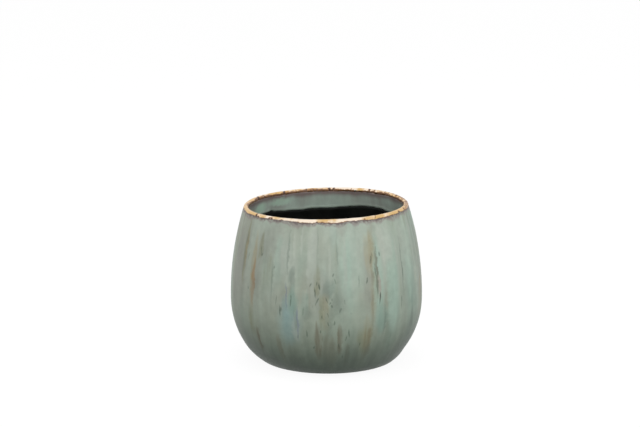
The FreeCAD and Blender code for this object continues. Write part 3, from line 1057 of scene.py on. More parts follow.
@dataclass(frozen=True)
class CeladonFinish:
    """The reactive celadon glaze of the outside, with some painted shade in it: the lower body and foot are
    darker, partly from the glaze's thicker run, and the drips under the gold band also paint its shadow.
    """

    effects: Effects
    body: Colour = tone(162, 175, 161)
    warm: Colour = tone(157, 164, 149)
    # The middle and foot tones darken the lower body: partly the glaze's thicker run, partly painted shade.
    middle: Colour = tone(146, 160, 143)
    foot: Colour = tone(88, 102, 90)
    mauve: Colour = tone(138, 126, 124)
    # The drip tone is a dark stain that also paints the shadow right under the gold band.
    drip_and_shadow: Colour = tone(98, 86, 84)
    broken_below: float = 12.0
    unevenness: tuple[float, ...] = (0.09, 0.022, 0.014, 0.09)

    def make(self) -> bpy.types.Material:
        """Build the material.

        Returns:
            The material.
        """
        material, graph, shader = new_material("celadon glaze", specular=0.28)
        around, angle, height = graph.call(self.effects.wrap).outputs
        broad, _ = self.effects.upright(graph, around, 22.0, 0.45, 0.3)
        _, middling = self.effects.upright(graph, around, 7.0, 0.22, 0.7)
        _, narrow = self.effects.upright(graph, around, 2.8, 0.13, 0.1)
        _, fine = self.effects.upright(graph, around, 1.1, 0.3, 0.5)
        mottle = graph.noise(around, 130.0, detail=4.0, rough=0.6)
        bent = graph.math("ADD", angle, graph.product(graph.math("SUBTRACT", mottle, 0.5), 3.4))
        colour = graph.mix(broad, self.body, self.warm)
        away = graph.step(graph.math("ABSOLUTE", angle), 52.0, 84.0, 0.15, 1.0)
        colour = self._kiln_marks(graph, around, away, narrow, colour)
        colour = self._placed_marks(graph, PATCHES, bent, height, middling, colour)
        thin = graph.attribute("thin")
        colour = graph.mix(graph.step(thin, 0.75, 0.2, 0.0, 0.35), colour, Pigment.PALE.value)
        colour = graph.mix(graph.step(thin, 0.65, 1.0, 0.0, 0.5), colour, Pigment.OLIVE.value)
        uneven = graph.line(middling, 24.0, height)
        # Darker towards the bottom: partly the glaze's thicker run and partly painted shade.
        colour = graph.mix(graph.step(uneven, 122.0, 40.0, 0.0, 0.7), colour, self.middle)
        colour = self._placed_marks(graph, CLEARINGS, bent, height, middling, colour)
        colour = self._placed_marks(graph, STREAKS, bent, height, narrow, colour)
        # Painted shade: the foot tone climbs higher towards the sides, where the pot turns away from the
        # light.
        side_shade_rise = graph.step(graph.math("ABSOLUTE", angle), 40.0, 66.0, 0.0, 14.0)
        low = graph.math("SUBTRACT", uneven, side_shade_rise)
        colour = graph.mix(graph.step(low, 64.0, 16.0, 0.0, 0.9), colour, self.foot)
        for noise, depth in zip((middling, narrow, fine, mottle), self.unevenness):
            colour = graph.shade(colour, graph.line(noise, 4 * depth, 1 - 2 * depth))
        colour = self._placed_marks(graph, FLECKS, angle, height, fine, colour)
        specks = {"Around": around, "Spacing": 8.0, "Stretch": 0.4, "Size": 0.24, "Share": 0.3}
        speck = graph.call(self.effects.flecks, **specks).outputs["Mask"]
        colour = graph.mix(graph.product(speck, 0.5), colour, Pigment.FLECK.value)
        drop = graph.math("DIVIDE", graph.attribute("below_band"), MM)
        colour = self._under_band(graph, around, drop, colour)
        relief = graph.line(narrow, 0.5, graph.product(fine, 0.2))
        relief = graph.line(speck, -0.25, relief)
        relief = graph.line(graph.noise(around, 900.0, detail=2.0), 0.12, relief)
        cover(graph, shader, colour, graph.line(middling, 0.2, 0.38), relief, 0.22 * MM)
        return material

    def _kiln_marks(
        self, graph: Graph, around: object, away: object, bristle: object, colour: object
    ) -> bpy.types.NodeSocket:
        """Add the scattered marks, which mostly keep clear of the placed ones at the front.

        Args:
            graph: the material's graph.
            around: seam-free coordinates round the pot.
            away: how much the marks show, less at the front.
            bristle: a noise that breaks the narrow ones.
            colour: the colour so far.

        Returns:
            The colour with them.
        """
        broken = graph.step(bristle, 0.62, 0.4, 0.35, 1.0)
        for row in SCATTERED:
            streak = graph.call(
                self.effects.streaks, Around=around, Width=row.width, Stretch=row.stretch,
                Shift=row.shift, Low=row.low, High=row.high,
            )
            share = graph.product(streak.outputs["Mask"], away, row.strength)
            if row.width < self.broken_below:
                share = graph.product(share, broken)
            colour = graph.mix(share, colour, row.pigment.value)
        return colour

    def _placed_marks(
        self, graph: Graph, placed: tuple[Mark, ...], angle: object, height: object, bristle: object,
        colour: object,
    ) -> bpy.types.NodeSocket:
        """Add marks of the pot's front, in the order of their table.

        Args:
            graph: the material's graph.
            placed: the marks.
            angle: angles in degrees.
            height: heights in millimetres.
            bristle: a noise that breaks their ends and their cover.
            colour: the colour so far.

        Returns:
            The colour with them.
        """
        for mark in placed:
            brush = mark.stroke.value
            middle = (mark.low + mark.high) / 2
            turned = angle
            if mark.lean:
                straight = graph.math("SUBTRACT", angle, -mark.lean * middle)
                turned = graph.line(height, -mark.lean, straight)
            shape = graph.call(
                self.effects.mark, Angle=turned, Height=height, Bristle=bristle,
                Middle_Angle=mark.angle, Middle_Height=middle,
                Half_Width=mark.width / 2 / BELLY_MM_PER_DEGREE, Half_Height=(mark.high - mark.low) / 2,
                Ragged=brush.ragged, Softness=brush.softness, Grain=brush.grain, Square=brush.square,
            )
            share = graph.product(shape.outputs["Mask"], mark.strength)
            colour = graph.mix(share, colour, mark.pigment.value)
        return colour

    def _under_band(
        self, graph: Graph, around: object, drop: object, colour: object
    ) -> bpy.types.NodeSocket:
        """Tint the glaze under the lip band: a soft mauve stain, and short dark drips over it, which also
        paint the shadow right under the band.

        Args:
            graph: the material's graph.
            around: seam-free coordinates round the pot.
            drop: distances below the band, in millimetres.
            colour: the colour so far.

        Returns:
            The tinted colour.
        """
        blots = graph.step(graph.noise(around, 420.0), 0.36, 0.54, 0.5, 1.0)
        for size, edge, reach, strength, tint in (
            ((7.0, 0.1, 1.3), 0.9, 7.0, 0.75, self.mauve),
            # dark drips, which also paint the shadow right under the band
            ((3.0, 0.3, 2.1), 0.1, 3.4, 0.8, self.drip_and_shadow),
        ):
            _, noise = self.effects.upright(graph, around, *size)
            fringe = graph.call(self.effects.fringe, Drop=drop, Edge=edge, Noise=noise, Reach=reach)
            colour = graph.mix(graph.product(fringe.outputs["Mask"], blots, strength), colour, tint)
        return colour


@dataclass(frozen=True)
class GoldFinish:
    """The fired gold of the lip, worn to brown in nicks and along its edges, with painted highlights in
    cream-white where the gold would mirror the lamps.
    """

    effects: Effects
    # painted highlight: the cream-white that stands in for the lamps' reflection in the gold
    bright: Colour = tone(252, 236, 216)
    deep: Colour = tone(224, 188, 130)
    amber: Colour = tone(166, 124, 88)
    brown: Colour = tone(116, 88, 70)
    burnt: Colour = tone(52, 34, 24)

    def make(self) -> bpy.types.Material:
        """Build the material.

        Returns:
            The material.
        """
        material, graph, shader = new_material("fired gold")
        around = graph.call(self.effects.wrap).outputs["Around"]
        patches = graph.noise(around, 75.0)
        grain = graph.noise(around, 380.0)
        # Painted highlights: where the band's table and the broad noise say so, the gold turns cream-white
        # as if it mirrored a lamp.
        pale = graph.math("ADD", graph.attribute("pale"), graph.line(patches, 2.4, -1.2))
        colour = graph.mix(graph.step(pale, 0.1, 0.8), self.deep, self.bright)
        uneven = graph.math("SUBTRACT", grain, 0.5)
        broken = graph.line(uneven, 0.8, graph.attribute("worn"))
        colour = graph.mix(graph.step(broken, 0.2, 0.45), colour, self.amber)
        bare = graph.step(broken, 0.45, 0.7)
        colour = graph.mix(bare, colour, self.brown)
        colour = graph.mix(graph.step(broken, 0.72, 0.95), colour, self.burnt)
        graph.feed(shader.inputs["Metallic"], graph.math("SUBTRACT", 1.0, bare))
        rough = graph.line(bare, 0.3, graph.line(grain, 0.25, 0.2))
        relief = graph.line(patches, 0.6, graph.product(grain, 0.25))
        cover(graph, shader, colour, rough, relief, 0.5 * MM)
        return material


@dataclass(frozen=True)
class CollarFinish:
    """The celadon that ran down the inside of the mouth.

    Attributes:
        effects: the shared node groups.
        body: the colour of most of it.
        grey: its broad darker streaks.
        mauve: the stain under the gold.
        bright: the paler patches.
        edge: its end, where it is thick.
        paler_patches: for each, its angle, its height in millimetres, half its width in degrees, half its
        height and its strength.
    """

    effects: Effects
    body: Colour = tone(174, 190, 178)
    grey: Colour = tone(158, 164, 155)
    mauve: Colour = tone(132, 117, 114)
    bright: Colour = tone(190, 222, 200)
    edge: Colour = tone(118, 132, 120)
    # Lighter patches on the back-left of the inside, just under the gold.
    paler_patches: tuple[tuple[float, ...], ...] = (
        (236.5, 150.0, 9.0, 8.0, 0.85),
        (217.0, 153.5, 12.0, 6.0, 0.8),
    )

    def make(self) -> bpy.types.Material:
        """Build the material.

        Returns:
            The material.
        """
        material, graph, shader = new_material("celadon collar")
        around, angle, height = graph.call(self.effects.wrap).outputs
        broad, cloud = self.effects.upright(graph, around, 16.0, 0.6, 0.9)
        _, narrow = self.effects.upright(graph, around, 3.0, 0.16, 0.4)
        mottle = graph.noise(around, 160.0)
        colour = graph.mix(graph.product(broad, 0.8), self.body, self.grey)
        drop = graph.math("DIVIDE", graph.attribute("below_rim"), MM)
        tint = graph.step(graph.line(cloud, -9.0, drop), 6.5, 0.0, 0.0, 0.95)
        colour = graph.mix(tint, colour, self.mauve)
        turned = graph.math("MODULO", graph.math("ADD", angle, 360.0), 360.0)
        for middle, level, half_width, half_height, strength in self.paler_patches:
            paler_patch = graph.call(
                self.effects.mark, Angle=turned, Height=height, Bristle=mottle, Middle_Angle=middle,
                Middle_Height=level, Half_Width=half_width, Half_Height=half_height, Ragged=8.0,
                Softness=0.0, Grain=0.3, Square=2.0,
            )
            colour = graph.mix(graph.product(paler_patch.outputs["Mask"], strength), colour, self.bright)
        colour = graph.shade(colour, graph.line(narrow, 0.3, graph.line(mottle, 0.3, 0.7)))
        end = graph.step(graph.attribute("to_edge"), 4 * MM, 0.6 * MM, 0.0, 0.7)
        colour = graph.mix(end, colour, self.edge)
        cover(graph, shader, colour, graph.line(narrow, 0.2, 0.3), narrow, 0.2 * MM)
        return material


@dataclass(frozen=True)
class LiningFinish:
    """The dark sealing coat of the inside, brushed on."""

    dark: Colour = tone(8, 10, 8)
    light: Colour = tone(19, 21, 18)

    def make(self) -> bpy.types.Material:
        """Build the material.

        Returns:
            The material.
        """
        material, graph, shader = new_material("dark lining", specular=0.25)
        place = graph.object_place()
        brushed = graph.noise(place, 60.0, detail=4.0, bend=0.6)
        grain = graph.noise(place, 600.0, detail=2.0)
        colour = graph.mix(graph.step(brushed, 0.35, 0.7), self.dark, self.light)
        rough = graph.line(brushed, 0.3, 0.45)
        cover(graph, shader, colour, rough, graph.line(grain, 0.4, brushed), 0.2 * MM)
        return material


@dataclass(frozen=True)
class ClayFinish:
    """The bare fired clay of the foot."""

    pale: Colour = tone(188, 170, 146)
    dark: Colour = tone(150, 128, 104)
    grog: Colour = tone(92, 74, 60)

    def make(self) -> bpy.types.Material:
        """Build the material.

        Returns:
            The material.
        """
        material, graph, shader = new_material("bare stoneware", specular=0.3)
        place = graph.object_place()
        cloud = graph.noise(place, 45.0, detail=4.0)
        grain = graph.noise(place, 900.0)
        speck = graph.step(graph.cells(place, 330.0).outputs["Distance"], 0.22, 0.12)
        colour = graph.mix(graph.step(cloud, 0.35, 0.65), self.pale, self.dark)
        colour = graph.mix(graph.product(speck, 0.5), colour, self.grog)
        rough = graph.line(grain, 0.2, 0.72)
        cover(graph, shader, colour, rough, graph.line(speck, -0.4, grain), 0.3 * MM)
        return material


@dataclass(frozen=True)
class FeltFinish:
    """Pressed wool felt."""

    wool: Colour = tone(74, 72, 70)
    light: Colour = tone(120, 117, 112)

    def make(self) -> bpy.types.Material:
        """Build the material.

        Returns:
            The material.
        """
        material, graph, shader = new_material("pad felt", specular=0.2, sheen=0.4)
        place = graph.object_place()
        fibre = graph.noise(place, 1600.0, detail=4.0, bend=2.5)
        tuft = graph.noise(place, 350.0)
        colour = graph.mix(graph.step(fibre, 0.45, 0.72), self.wool, self.light)
        rough = graph.line(tuft, 0.1, 0.88)
        cover(graph, shader, colour, rough, graph.line(tuft, 0.5, fibre), 0.4 * MM)
        return material


# The pieces


def stand_in(piece: bpy.types.Object, material: bpy.types.Material, node: str, slot: Slot) -> None:
    """Give a piece its material and its body, hide the CAD node that it stands for, and log its slot.

    Args:
        piece: the new object.
        material: its finish.
        node: the CAD node that it replaces.
        slot: the record's slot of its finish.
    """
    piece.data.materials.append(material)
    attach(piece, BODY)
    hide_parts(node)
    LOG.info("%s: %d faces, slot %s", piece.name, len(piece.data.polygons), slot.value)


@dataclass(frozen=True)
class Nick:
    """A break in the lip's gold.

    Attributes:
        angle: where it is, in degrees from the front.
        width: how wide it is, in degrees.
        depth: how much gold it takes, from 0 to 1.
        middle: how far over the lip its middle lies: 0 for the outer edge of the gold, 1 for the inner one.
        reach: how far over the lip it goes to each side.
    """

    angle: float
    width: float
    depth: float
    middle: float = 0.45
    reach: float = 0.6


NICKS = tuple(Nick(*row) for row in (
    (-80, 3.2, 0.6, 0.1, 0.3), (-56, 2.4, 1.0), (-53.6, 2.8, 0.8, 0.05, 0.2),
    (-42.4, 2.2, 0.9, 0.08, 0.24), (-39.6, 2.0, 0.9, 0.08, 0.28), (-31.4, 3.4, 0.7, 0.05, 0.2),
    (-25, 3.0, 0.5, 0.0, 0.2), (-6.5, 1.8, 0.8, 0.06, 0.16), (-3, 4.0, 0.6, 0.0, 0.2),
    (12.9, 3.0, 0.6, 0.04, 0.16), (18.5, 4.0, 0.6, 0.0, 0.16), (26.6, 2.4, 0.7, 0.1, 0.25),
    (35.6, 1.3, 0.5, 0.3, 0.3), (54, 1.6, 0.5, 0.05, 0.2), (60.7, 2.6, 0.7, 0.1, 0.25),
    (70, 3.0, 0.9, 0.1, 0.3), (79, 2.4, 0.6, 0.3, 0.3), (92, 5.0, 0.7, 0.3, 0.3),
    (101, 2.4, 0.7, 0.6, 0.3), (104.5, 1.6, 0.6), (110, 1.6, 0.6, 0.6, 0.3), (115.4, 3.4, 1.0),
    (125.6, 1.4, 0.7), (130.2, 1.2, 0.7), (140.2, 1.8, 1.0), (145.6, 2.2, 1.0),
    (161, 1.2, 0.4, 0.8, 0.3), (173.9, 1.8, 0.9), (178.3, 2.4, 1.0), (190, 2.2, 0.6, 0.75, 0.25),
    (195, 1.6, 0.7), (204.4, 1.4, 0.6), (213.3, 2.4, 1.0), (221, 1.2, 0.5, 0.7, 0.3), (234.8, 2.2, 1.0),
    (241.2, 3.0, 1.0), (247, 1.4, 0.5), (254, 1.6, 0.6, 0.3, 0.4), (262, 2.0, 0.5, 0.2, 0.3),
    (271, 1.4, 0.5, 0.3, 0.3),
))


@dataclass(frozen=True)
class BandEdges:
    """Where the gold band ends outside and inside, where its gold is thin or nicked, and where a highlight
    is painted on it.
    """

    outer_drops: Table = (
        (-110, 2.4), (-90, 1.8), (-78, 1.9), (-67, 3.0), (-61, 2.1), (-52, 2.9), (-42, 2.0), (-32, 2.0),
        (-24, 2.1), (-17, 3.2), (-10, 3.4), (-4, 2.6), (2, 3.5), (9, 3.3), (15, 2.0), (22, 2.1), (31, 3.0),
        (42, 3.1), (53, 2.9), (61, 2.3), (72, 3.0), (90, 2.4), (112, 2.1), (140, 2.7), (170, 2.4),
        (205, 2.9), (230, 2.4),
    )
    inner_drop: float = 3.8 * MM
    swing: float = 0.7 * MM
    least_drop: float = 1.8 * MM
    inner_wear: Table = (
        (-136, 4.0), (-121, 2.2), (-104, 1.4), (-82, 1.0), (-66, 7.0), (-42, 5.0), (110, 5.0), (150, 5.5),
        (205, 4.0),
    )
    rubbed: Table = (
        (-130, 0.1), (-92, 0.25), (-68, 0.0), (58, 0.1), (74, 0.6), (88, 1.0), (104, 1.0), (116, 0.6),
        (134, 0.0),
    )
    # Painted highlights round the band: higher where the gold shows cream-white as if it mirrored a lamp.
    painted_highlights: Table = (
        (-90, -0.25), (-66, -0.05), (-50, 0.2), (-38, 0.5), (-26, 0.8), (-19, 1.0), (-8, 0.95), (-2, 0.4),
        (5, 0.4), (12, 0.9), (21, 0.9), (28, 0.5), (40, 0.3), (60, 0.1), (88, 0.0), (112, 0.5), (132, 0.3),
        (150, 0.7), (168, 0.9), (180, 0.3), (195, 0.2), (206, 0.5), (222, 0.2), (240, 0.6), (256, 0.2),
    )

    def outside(self, angle: np.ndarray) -> np.ndarray:
        """How far below the crest the gold ends outside.

        Args:
            angle: angles in radians.

        Returns:
            The drop at each angle.
        """
        fine = Ripple(6, 46, 0, 30).at(angle)
        drop = MM * round_table(self.outer_drops, angle) + 0.28 * self.swing * fine
        return np.maximum(drop, self.least_drop)

    def inside(self, angle: np.ndarray) -> np.ndarray:
        """How far below the crest the gold ends inside, at angles in radians."""
        wide, fine = Ripple(7, 11, 0, 16).at(angle), Ripple(8, 40, 0, 30).at(angle)
        return self.inner_drop + self.swing * (0.4 * wide + 0.3 * fine)

    @staticmethod
    def nick(angle: np.ndarray, share: np.ndarray) -> np.ndarray:
        """How nicked the gold is, from 0 to 1.

        Args:
            angle: angles in radians.
            share: how far over the lip, from 0 for the gold's outer edge to 1 for its inner edge.

        Returns:
            The depth of the nicks at each place.
        """
        degrees = np.degrees(angle)
        draw = np.random.default_rng(35)
        total = np.zeros(np.broadcast(angle, share).shape)
        for nick in NICKS:
            lean = draw.uniform(-4, 4)
            off = (degrees - nick.angle - lean * (share - nick.middle) + 180) % 360 - 180
            flare = 0.35 * nick.width * (1 + 1.4 * np.abs(share - nick.middle))
            along = np.exp(-(((share - nick.middle) / nick.reach) ** 4))
            total = np.maximum(total, nick.depth * along * np.exp(-((off / flare) ** 2)))
        return total


@dataclass(frozen=True)
class RunLine:
    """Where the celadon inside stopped running: depths below the crest in millimetres, by angle."""

    depths: Table = (
        (130.3, 22.4), (137, 20.5), (144.3, 20.1), (154.3, 20.3), (162.1, 21.0), (165.9, 21.8),
        (176.9, 23.2), (189.9, 23.1), (198.7, 23.9), (210.5, 23.1), (219.2, 21.9), (224, 20.2),
        (227.8, 21.5), (245, 23.0), (262, 21.2), (280, 22.6), (300, 20.6), (325, 22.8), (345, 21.4),
        (4, 23.0), (24, 20.9), (45, 22.6), (66, 21.2), (88, 23.1), (108, 21.3), (121, 22.7),
    )

    def drop(self, angle: np.ndarray) -> np.ndarray:
        """How far below the crest the celadon ends, at angles in radians."""
        fine = Ripple(11, 40, 0, 24).at(angle)
        return MM * (round_table(self.depths, angle) + 0.12 * fine)


@dataclass
class TurnedPiece:
    """A piece that goes round the pot's axis.

    Attributes:
        outline: the pot's section.
        settling: how the fired pot departs from a true turned form.
    """

    outline: Outline
    settling: Settling


@dataclass
class GlazedOutside(TurnedPiece):
    """The celadon coat of the outside, with its runs and soft unevenness."""

    edges: BandEdges
    finish: CeladonFinish
    columns: int = 512
    rows: int = 168
    back_rows: int = 26
    thinnest: float = 0.16 * MM
    deepest: float = 0.4 * MM
    under_band: float = 0.7 * MM
    runs: int = 64
    drop_length: float = 5 * MM
    foot_round: float = 0.35 * MM
    foot_round_length: float = 1.2 * MM
    tuck: float = 0.3 * MM

    def relief(self, angle: np.ndarray, height: np.ndarray, below: np.ndarray) -> np.ndarray:
        """How much thinner than its full thickness the coat is, in metres.

        Args:
            angle: angles in radians.
            height: heights above the base edge.
            below: distances below the crest.

        Returns:
            The lack at each place.
        """
        wide = Ripple(21, 3.2, 9, 20).at(angle, height)
        streaks = Ripple(22, 34, 3.5, 40).at(angle, height)
        fine = Ripple(23, 80, 9, 50).at(angle, height)
        fade = ease(below, 150 * MM, 10 * MM)
        lack = 0.2 + 0.06 * wide + 0.06 * streaks * (0.4 + 0.6 * fade) + 0.025 * fine
        draw = np.random.default_rng(24)
        for _ in range(self.runs):
            middle, width = draw.uniform(0, 2 * math.pi), draw.uniform(0.012, 0.03)
            length, size = draw.uniform(12, 95) * MM, draw.uniform(0.04, 0.12)
            off = (angle - middle + math.pi) % (2 * math.pi) - math.pi
            end = ease(below, length, length * 0.75)
            drop = np.exp(-(((below - length * 0.86) / self.drop_length) ** 2))
            lack = lack - size * np.exp(-((off / width) ** 2)) * (end + 0.7 * drop)
        return np.clip(MM * lack, 0, self.deepest)

    def build(self) -> bpy.types.Object:
        """Make the coat's mesh: outer face up, top edge, inner face down, foot edge.

        Returns:
            The piece.
        """
        angle = ring(self.columns)
        crest = self.outline.crest(angle)
        drop = self.edges.outside(angle) - self.under_band
        top = self.outline.shoulder_length(crest - drop)
        length = np.linspace(0, 1, self.rows)[:, None] * top
        outer = self.outline.outside(length)
        below = crest - outer.height
        lack = self.relief(angle, outer.height, below) * (1 - ease(length, 5 * MM, 1.5 * MM))
        foot_round = self.foot_round * (1 - np.clip(length / self.foot_round_length, 0, 1)) ** 2
        tucked = self.tuck * ease(below, drop + 1.4 * MM, drop + 0.8 * MM)
        face = outer.moved(-np.clip(lack + foot_round + tucked, 0, self.outline.glaze - self.thinnest))
        back_length = np.linspace(0, 1, self.back_rows)[:, None] * top
        back = self.outline.outside(back_length).moved(-self.outline.glaze)
        rows = self.settling.place(self.outline, joined([face, back.turned()]), angle)
        hidden = np.zeros((self.back_rows, self.columns))
        fields = {
            "below_band": np.concatenate([below - drop - self.under_band, hidden]),
            "thin": np.concatenate([lack / self.deepest, hidden]),
        }
        spread = np.append(np.linspace(0, 0.96, self.rows), np.linspace(0.965, 0.998, self.back_rows))
        return TurnedMesh("glazed_outside", rows, spread, None, fields).build()

    def dress(self, piece: bpy.types.Object) -> None:
        """Glaze the coat."""
        stand_in(piece, self.finish.make(), "celadon_glaze", Slot.CELADON)


@dataclass
class LipBand(TurnedPiece):
    """The gold that wraps the lip."""

    edges: BandEdges
    finish: GoldFinish
    columns: int = 840
    crest_row: int = 16
    over_lip: float = 14 * MM
    deepest: float = 0.5 * MM
    edge_round: float = 0.3 * MM
    wear_fade: float = 5.0

    def build(self) -> bpy.types.Object:
        """Make the band's mesh: over the lip from outside to inside, and back underneath.

        Returns:
            The piece.
        """
        angle = ring(self.columns)
        crest = self.outline.crest(angle)
        skin = self.outline.lip(crest, self.edges.outside(angle), self.edges.inside(angle))
        count = len(skin.radius)
        share = np.linspace(0, 1, count)[:, None]
        nick = self.edges.nick(angle, share)
        lumps = Ripple(31, 30, 0, 40).at(angle)
        small = Ripple(32, 90, 40, 60).at(angle, share * self.over_lip)
        leaning = Ripple(33, 26, 60, 40).at(angle, share * self.over_lip)
        lack = 0.1 + 0.05 * lumps + 0.03 * small + 0.05 * leaning + 0.26 * nick
        edge = np.minimum(share, 1 - share)
        lack = MM * np.clip(lack, 0, 0.42) + self.edge_round * (1 - np.clip(edge / 0.045, 0, 1)) ** 2
        face = skin.moved(-np.clip(lack, 0, self.deepest))
        back = skin.moved(-self.outline.glaze).turned()
        rows = self.settling.place(self.outline, joined([face, back]), angle)
        fray = (0.6 + 0.2 * lumps) * (1 - np.clip(edge / 0.15, 0, 1)) + 0.12 * small
        past = share * count - self.crest_row
        past_wear = past + 1.2 * lumps + 1.5 * leaning - round_table(self.edges.inner_wear, angle)
        inner = 0.56 * ease(past_wear, 0, self.wear_fade) + 0.1 * small
        rubbed = round_table(self.edges.rubbed, angle) * ease(past + 2 * small, 9, -1)
        rubbed = rubbed * (0.54 + 0.14 * leaning)
        nicked = 1.15 * nick * (0.9 + 0.25 * leaning)
        worn = np.clip(np.maximum.reduce([nicked, fray, inner, rubbed]), 0, 1)
        # Painted highlights: where the gold is to show cream-white, as if it mirrored the lamps.
        pale = round_table(self.edges.painted_highlights, angle) + 0.12 * leaning
        hidden = np.zeros((count, self.columns))
        fields = {"worn": np.concatenate([worn, hidden]), "pale": np.concatenate([pale, hidden])}
        spread = np.append(np.linspace(0, 0.9, count), np.linspace(0.91, 0.99, count))
        return TurnedMesh("gold_lip", rows, spread, None, fields).build()

    def dress(self, piece: bpy.types.Object) -> None:
        """Gild the band."""
        stand_in(piece, self.finish.make(), "gold_lip_band", Slot.GOLD)


@dataclass
class InnerCollar(TurnedPiece):
    """The celadon inside the mouth, down to the line where it stopped running."""

    edges: BandEdges
    line: RunLine
    finish: CollarFinish
    columns: int = 560
    rows: int = 30
    back_rows: int = 8
    under_band: float = 0.5 * MM
    thickness: float = 0.5 * MM
    bead: float = 0.35 * MM
    bead_place: float = 1.6 * MM
    bead_width: float = 1.3 * MM
    edge_round: float = 1.1 * MM

    def build(self) -> bpy.types.Object:
        """Make the collar's mesh: back up against the clay, then the face down to the bead.

        Returns:
            The piece.
        """
        angle = ring(self.columns)
        crest = self.outline.crest(angle)
        top_drop = self.edges.inside(angle) - self.under_band
        low_drop = self.line.drop(angle)
        below = top_drop + np.linspace(0, 1, self.rows)[:, None] ** 0.8 * (low_drop - top_drop)
        to_edge = low_drop - below
        streaks = Ripple(41, 38, 6, 40).at(angle, below)
        bead = self.bead * np.exp(-((to_edge - self.bead_place) / self.bead_width) ** 2)
        thick = self.thickness + 0.05 * MM * streaks + bead
        thick = thick - 0.18 * MM * ease(below, top_drop + 1.2 * MM, top_drop + 0.6 * MM)
        thick = thick * np.sqrt(np.clip(to_edge / self.edge_round, 0, 1) * 0.97 + 0.03)
        face = self.outline.inner_wall(crest - below).moved(thick)
        back_below = top_drop + np.linspace(1, 0, self.back_rows)[:, None] * (low_drop - top_drop)
        back = self.outline.inner_wall(crest - back_below).flipped()
        rows = self.settling.place(self.outline, joined([back, face]), angle)
        fields = {
            "below_rim": np.concatenate([back_below, below]),
            "to_edge": np.concatenate([low_drop - back_below, to_edge]),
        }
        spread = np.append(np.linspace(0, 0.08, self.back_rows), np.linspace(0.09, 0.99, self.rows))
        return TurnedMesh("inner_collar", rows, spread, None, fields).build()

    def dress(self, piece: bpy.types.Object) -> None:
        """Glaze the collar."""
        stand_in(piece, self.finish.make(), "celadon_collar", Slot.INSIDE)


@dataclass
class DarkLining(TurnedPiece):
    """The dark coat over the wall under the collar and over the floor."""

    line: RunLine
    finish: LiningFinish
    columns: int = 280
    rows: int = 64
    thickness: float = 0.4 * MM
    uneven: float = 0.06 * MM

    def build(self) -> bpy.types.Object:
        """Make the lining's mesh: its back outwards and up, then its face down and inwards.

        Returns:
            The piece.
        """
        angle = ring(self.columns)
        top = self.outline.crest(angle) - self.line.drop(angle)
        wall = self.outline.cavity(self.rows, top)
        uneven = self.uneven * Ripple(51, 7, 16, 30).at(angle, wall.height + wall.radius)
        face = wall.moved(self.thickness - self.uneven + uneven).turned()
        rows = self.settling.place(self.outline, joined([wall.flipped(), face]), angle)
        low = self.outline.floor + self.outline.base_edge
        poles = Vector((0, 0, low)), Vector((0, 0, low + self.thickness))
        count = len(wall.radius)
        spread = np.append(np.linspace(0.01, 0.12, count), np.linspace(0.14, 0.99, count))
        return TurnedMesh("dark_lining", rows, spread, poles, {}).build()

    def dress(self, piece: bpy.types.Object) -> None:
        """Coat the inside."""
        stand_in(piece, self.finish.make(), "black_lining", Slot.LINING)


@dataclass
class ClayBody(TurnedPiece):
    """The fired clay: all of it, though only the foot and the underside show."""

    finish: ClayFinish
    columns: int = 280
    wall_rows: int = 60
    cavity_rows: int = 48
    lip_drop: float = 4 * MM
    ring_radius: float = 60 * MM
    ring_width: float = 10 * MM
    ring_height: float = 1.6 * MM
    bevel: float = 0.6 * MM
    corner: float = 0.25 * MM
    hollow: float = 1.0 * MM
    turning_marks: float = 2.6 * MM

    def _under(self, edge_radius: float) -> list[tuple[float, float]]:
        """The section of the underside, from near the axis to the base edge.

        Args:
            edge_radius: where the base edge lies.

        Returns:
            Points as radius and height.
        """
        inside, outside, sole = self.ring_radius - self.ring_width, self.ring_radius, -self.ring_height
        cut, soft = self.bevel, 0.3 * self.bevel
        points = [(share * inside, self.hollow) for share in np.linspace(0.04, 0.985, 22)]
        points += [(inside, self.hollow - self.corner), (inside, sole + cut), (inside + soft, sole + soft)]
        points += [(r, sole) for r in np.linspace(inside + cut, outside - cut, 8)]
        points += [(outside - soft, sole + soft), (outside, sole + cut), (outside, -self.corner)]
        points += [(outside + self.corner, 0.0)]
        points += [(r, 0.0) for r in np.linspace(outside + cut, edge_radius, 8)[:-1]]
        return points

    def build(self) -> bpy.types.Object:
        """Make the clay's mesh: underside, outer wall, lip, cavity.

        Returns:
            The piece.
        """
        angle = ring(self.columns)
        crest = self.outline.crest(angle)
        drop = self.lip_drop + 0 * angle
        length = np.linspace(0, 1, self.wall_rows)[:-1, None] * self.outline.shoulder_length(crest - drop)
        wall = self.outline.outside(length).moved(-self.outline.glaze)
        lip = self.outline.lip(crest, drop, drop).moved(-self.outline.glaze)
        cavity = self.outline.cavity(self.cavity_rows, crest - drop).turned()
        under = np.array(self._under(float(wall.radius[0, 0])))
        radius = under[:, :1] + 0 * angle
        turning = np.sin(2 * math.pi * radius / self.turning_marks + 0.4 * np.sin(angle))
        rough = Ripple(61, 9, 0, 20).at(angle + radius * 30, radius)
        inner = ease(radius, self.ring_radius - self.ring_width, self.ring_radius - 1.2 * self.ring_width)
        height = under[:, 1:] + MM * (0.1 * turning + 0.05 * rough) * inner
        below = Skin(radius, height, 0 * radius, 0 * radius - 1)
        rows = self.settling.place(self.outline, joined([below, wall, lip, cavity]), angle)
        base = self.outline.base_edge
        poles = Vector((0, 0, base + self.hollow)), Vector((0, 0, base + self.outline.floor))
        count, foot = len(rows), len(under)
        spread = np.append(np.linspace(0.02, 0.7, foot), np.linspace(0.71, 0.99, count - foot))
        return TurnedMesh("stoneware", rows, spread, poles, {}).build()

    def dress(self, piece: bpy.types.Object) -> None:
        """Leave the clay bare."""
        stand_in(piece, self.finish.make(), "stoneware_body", Slot.STONEWARE)


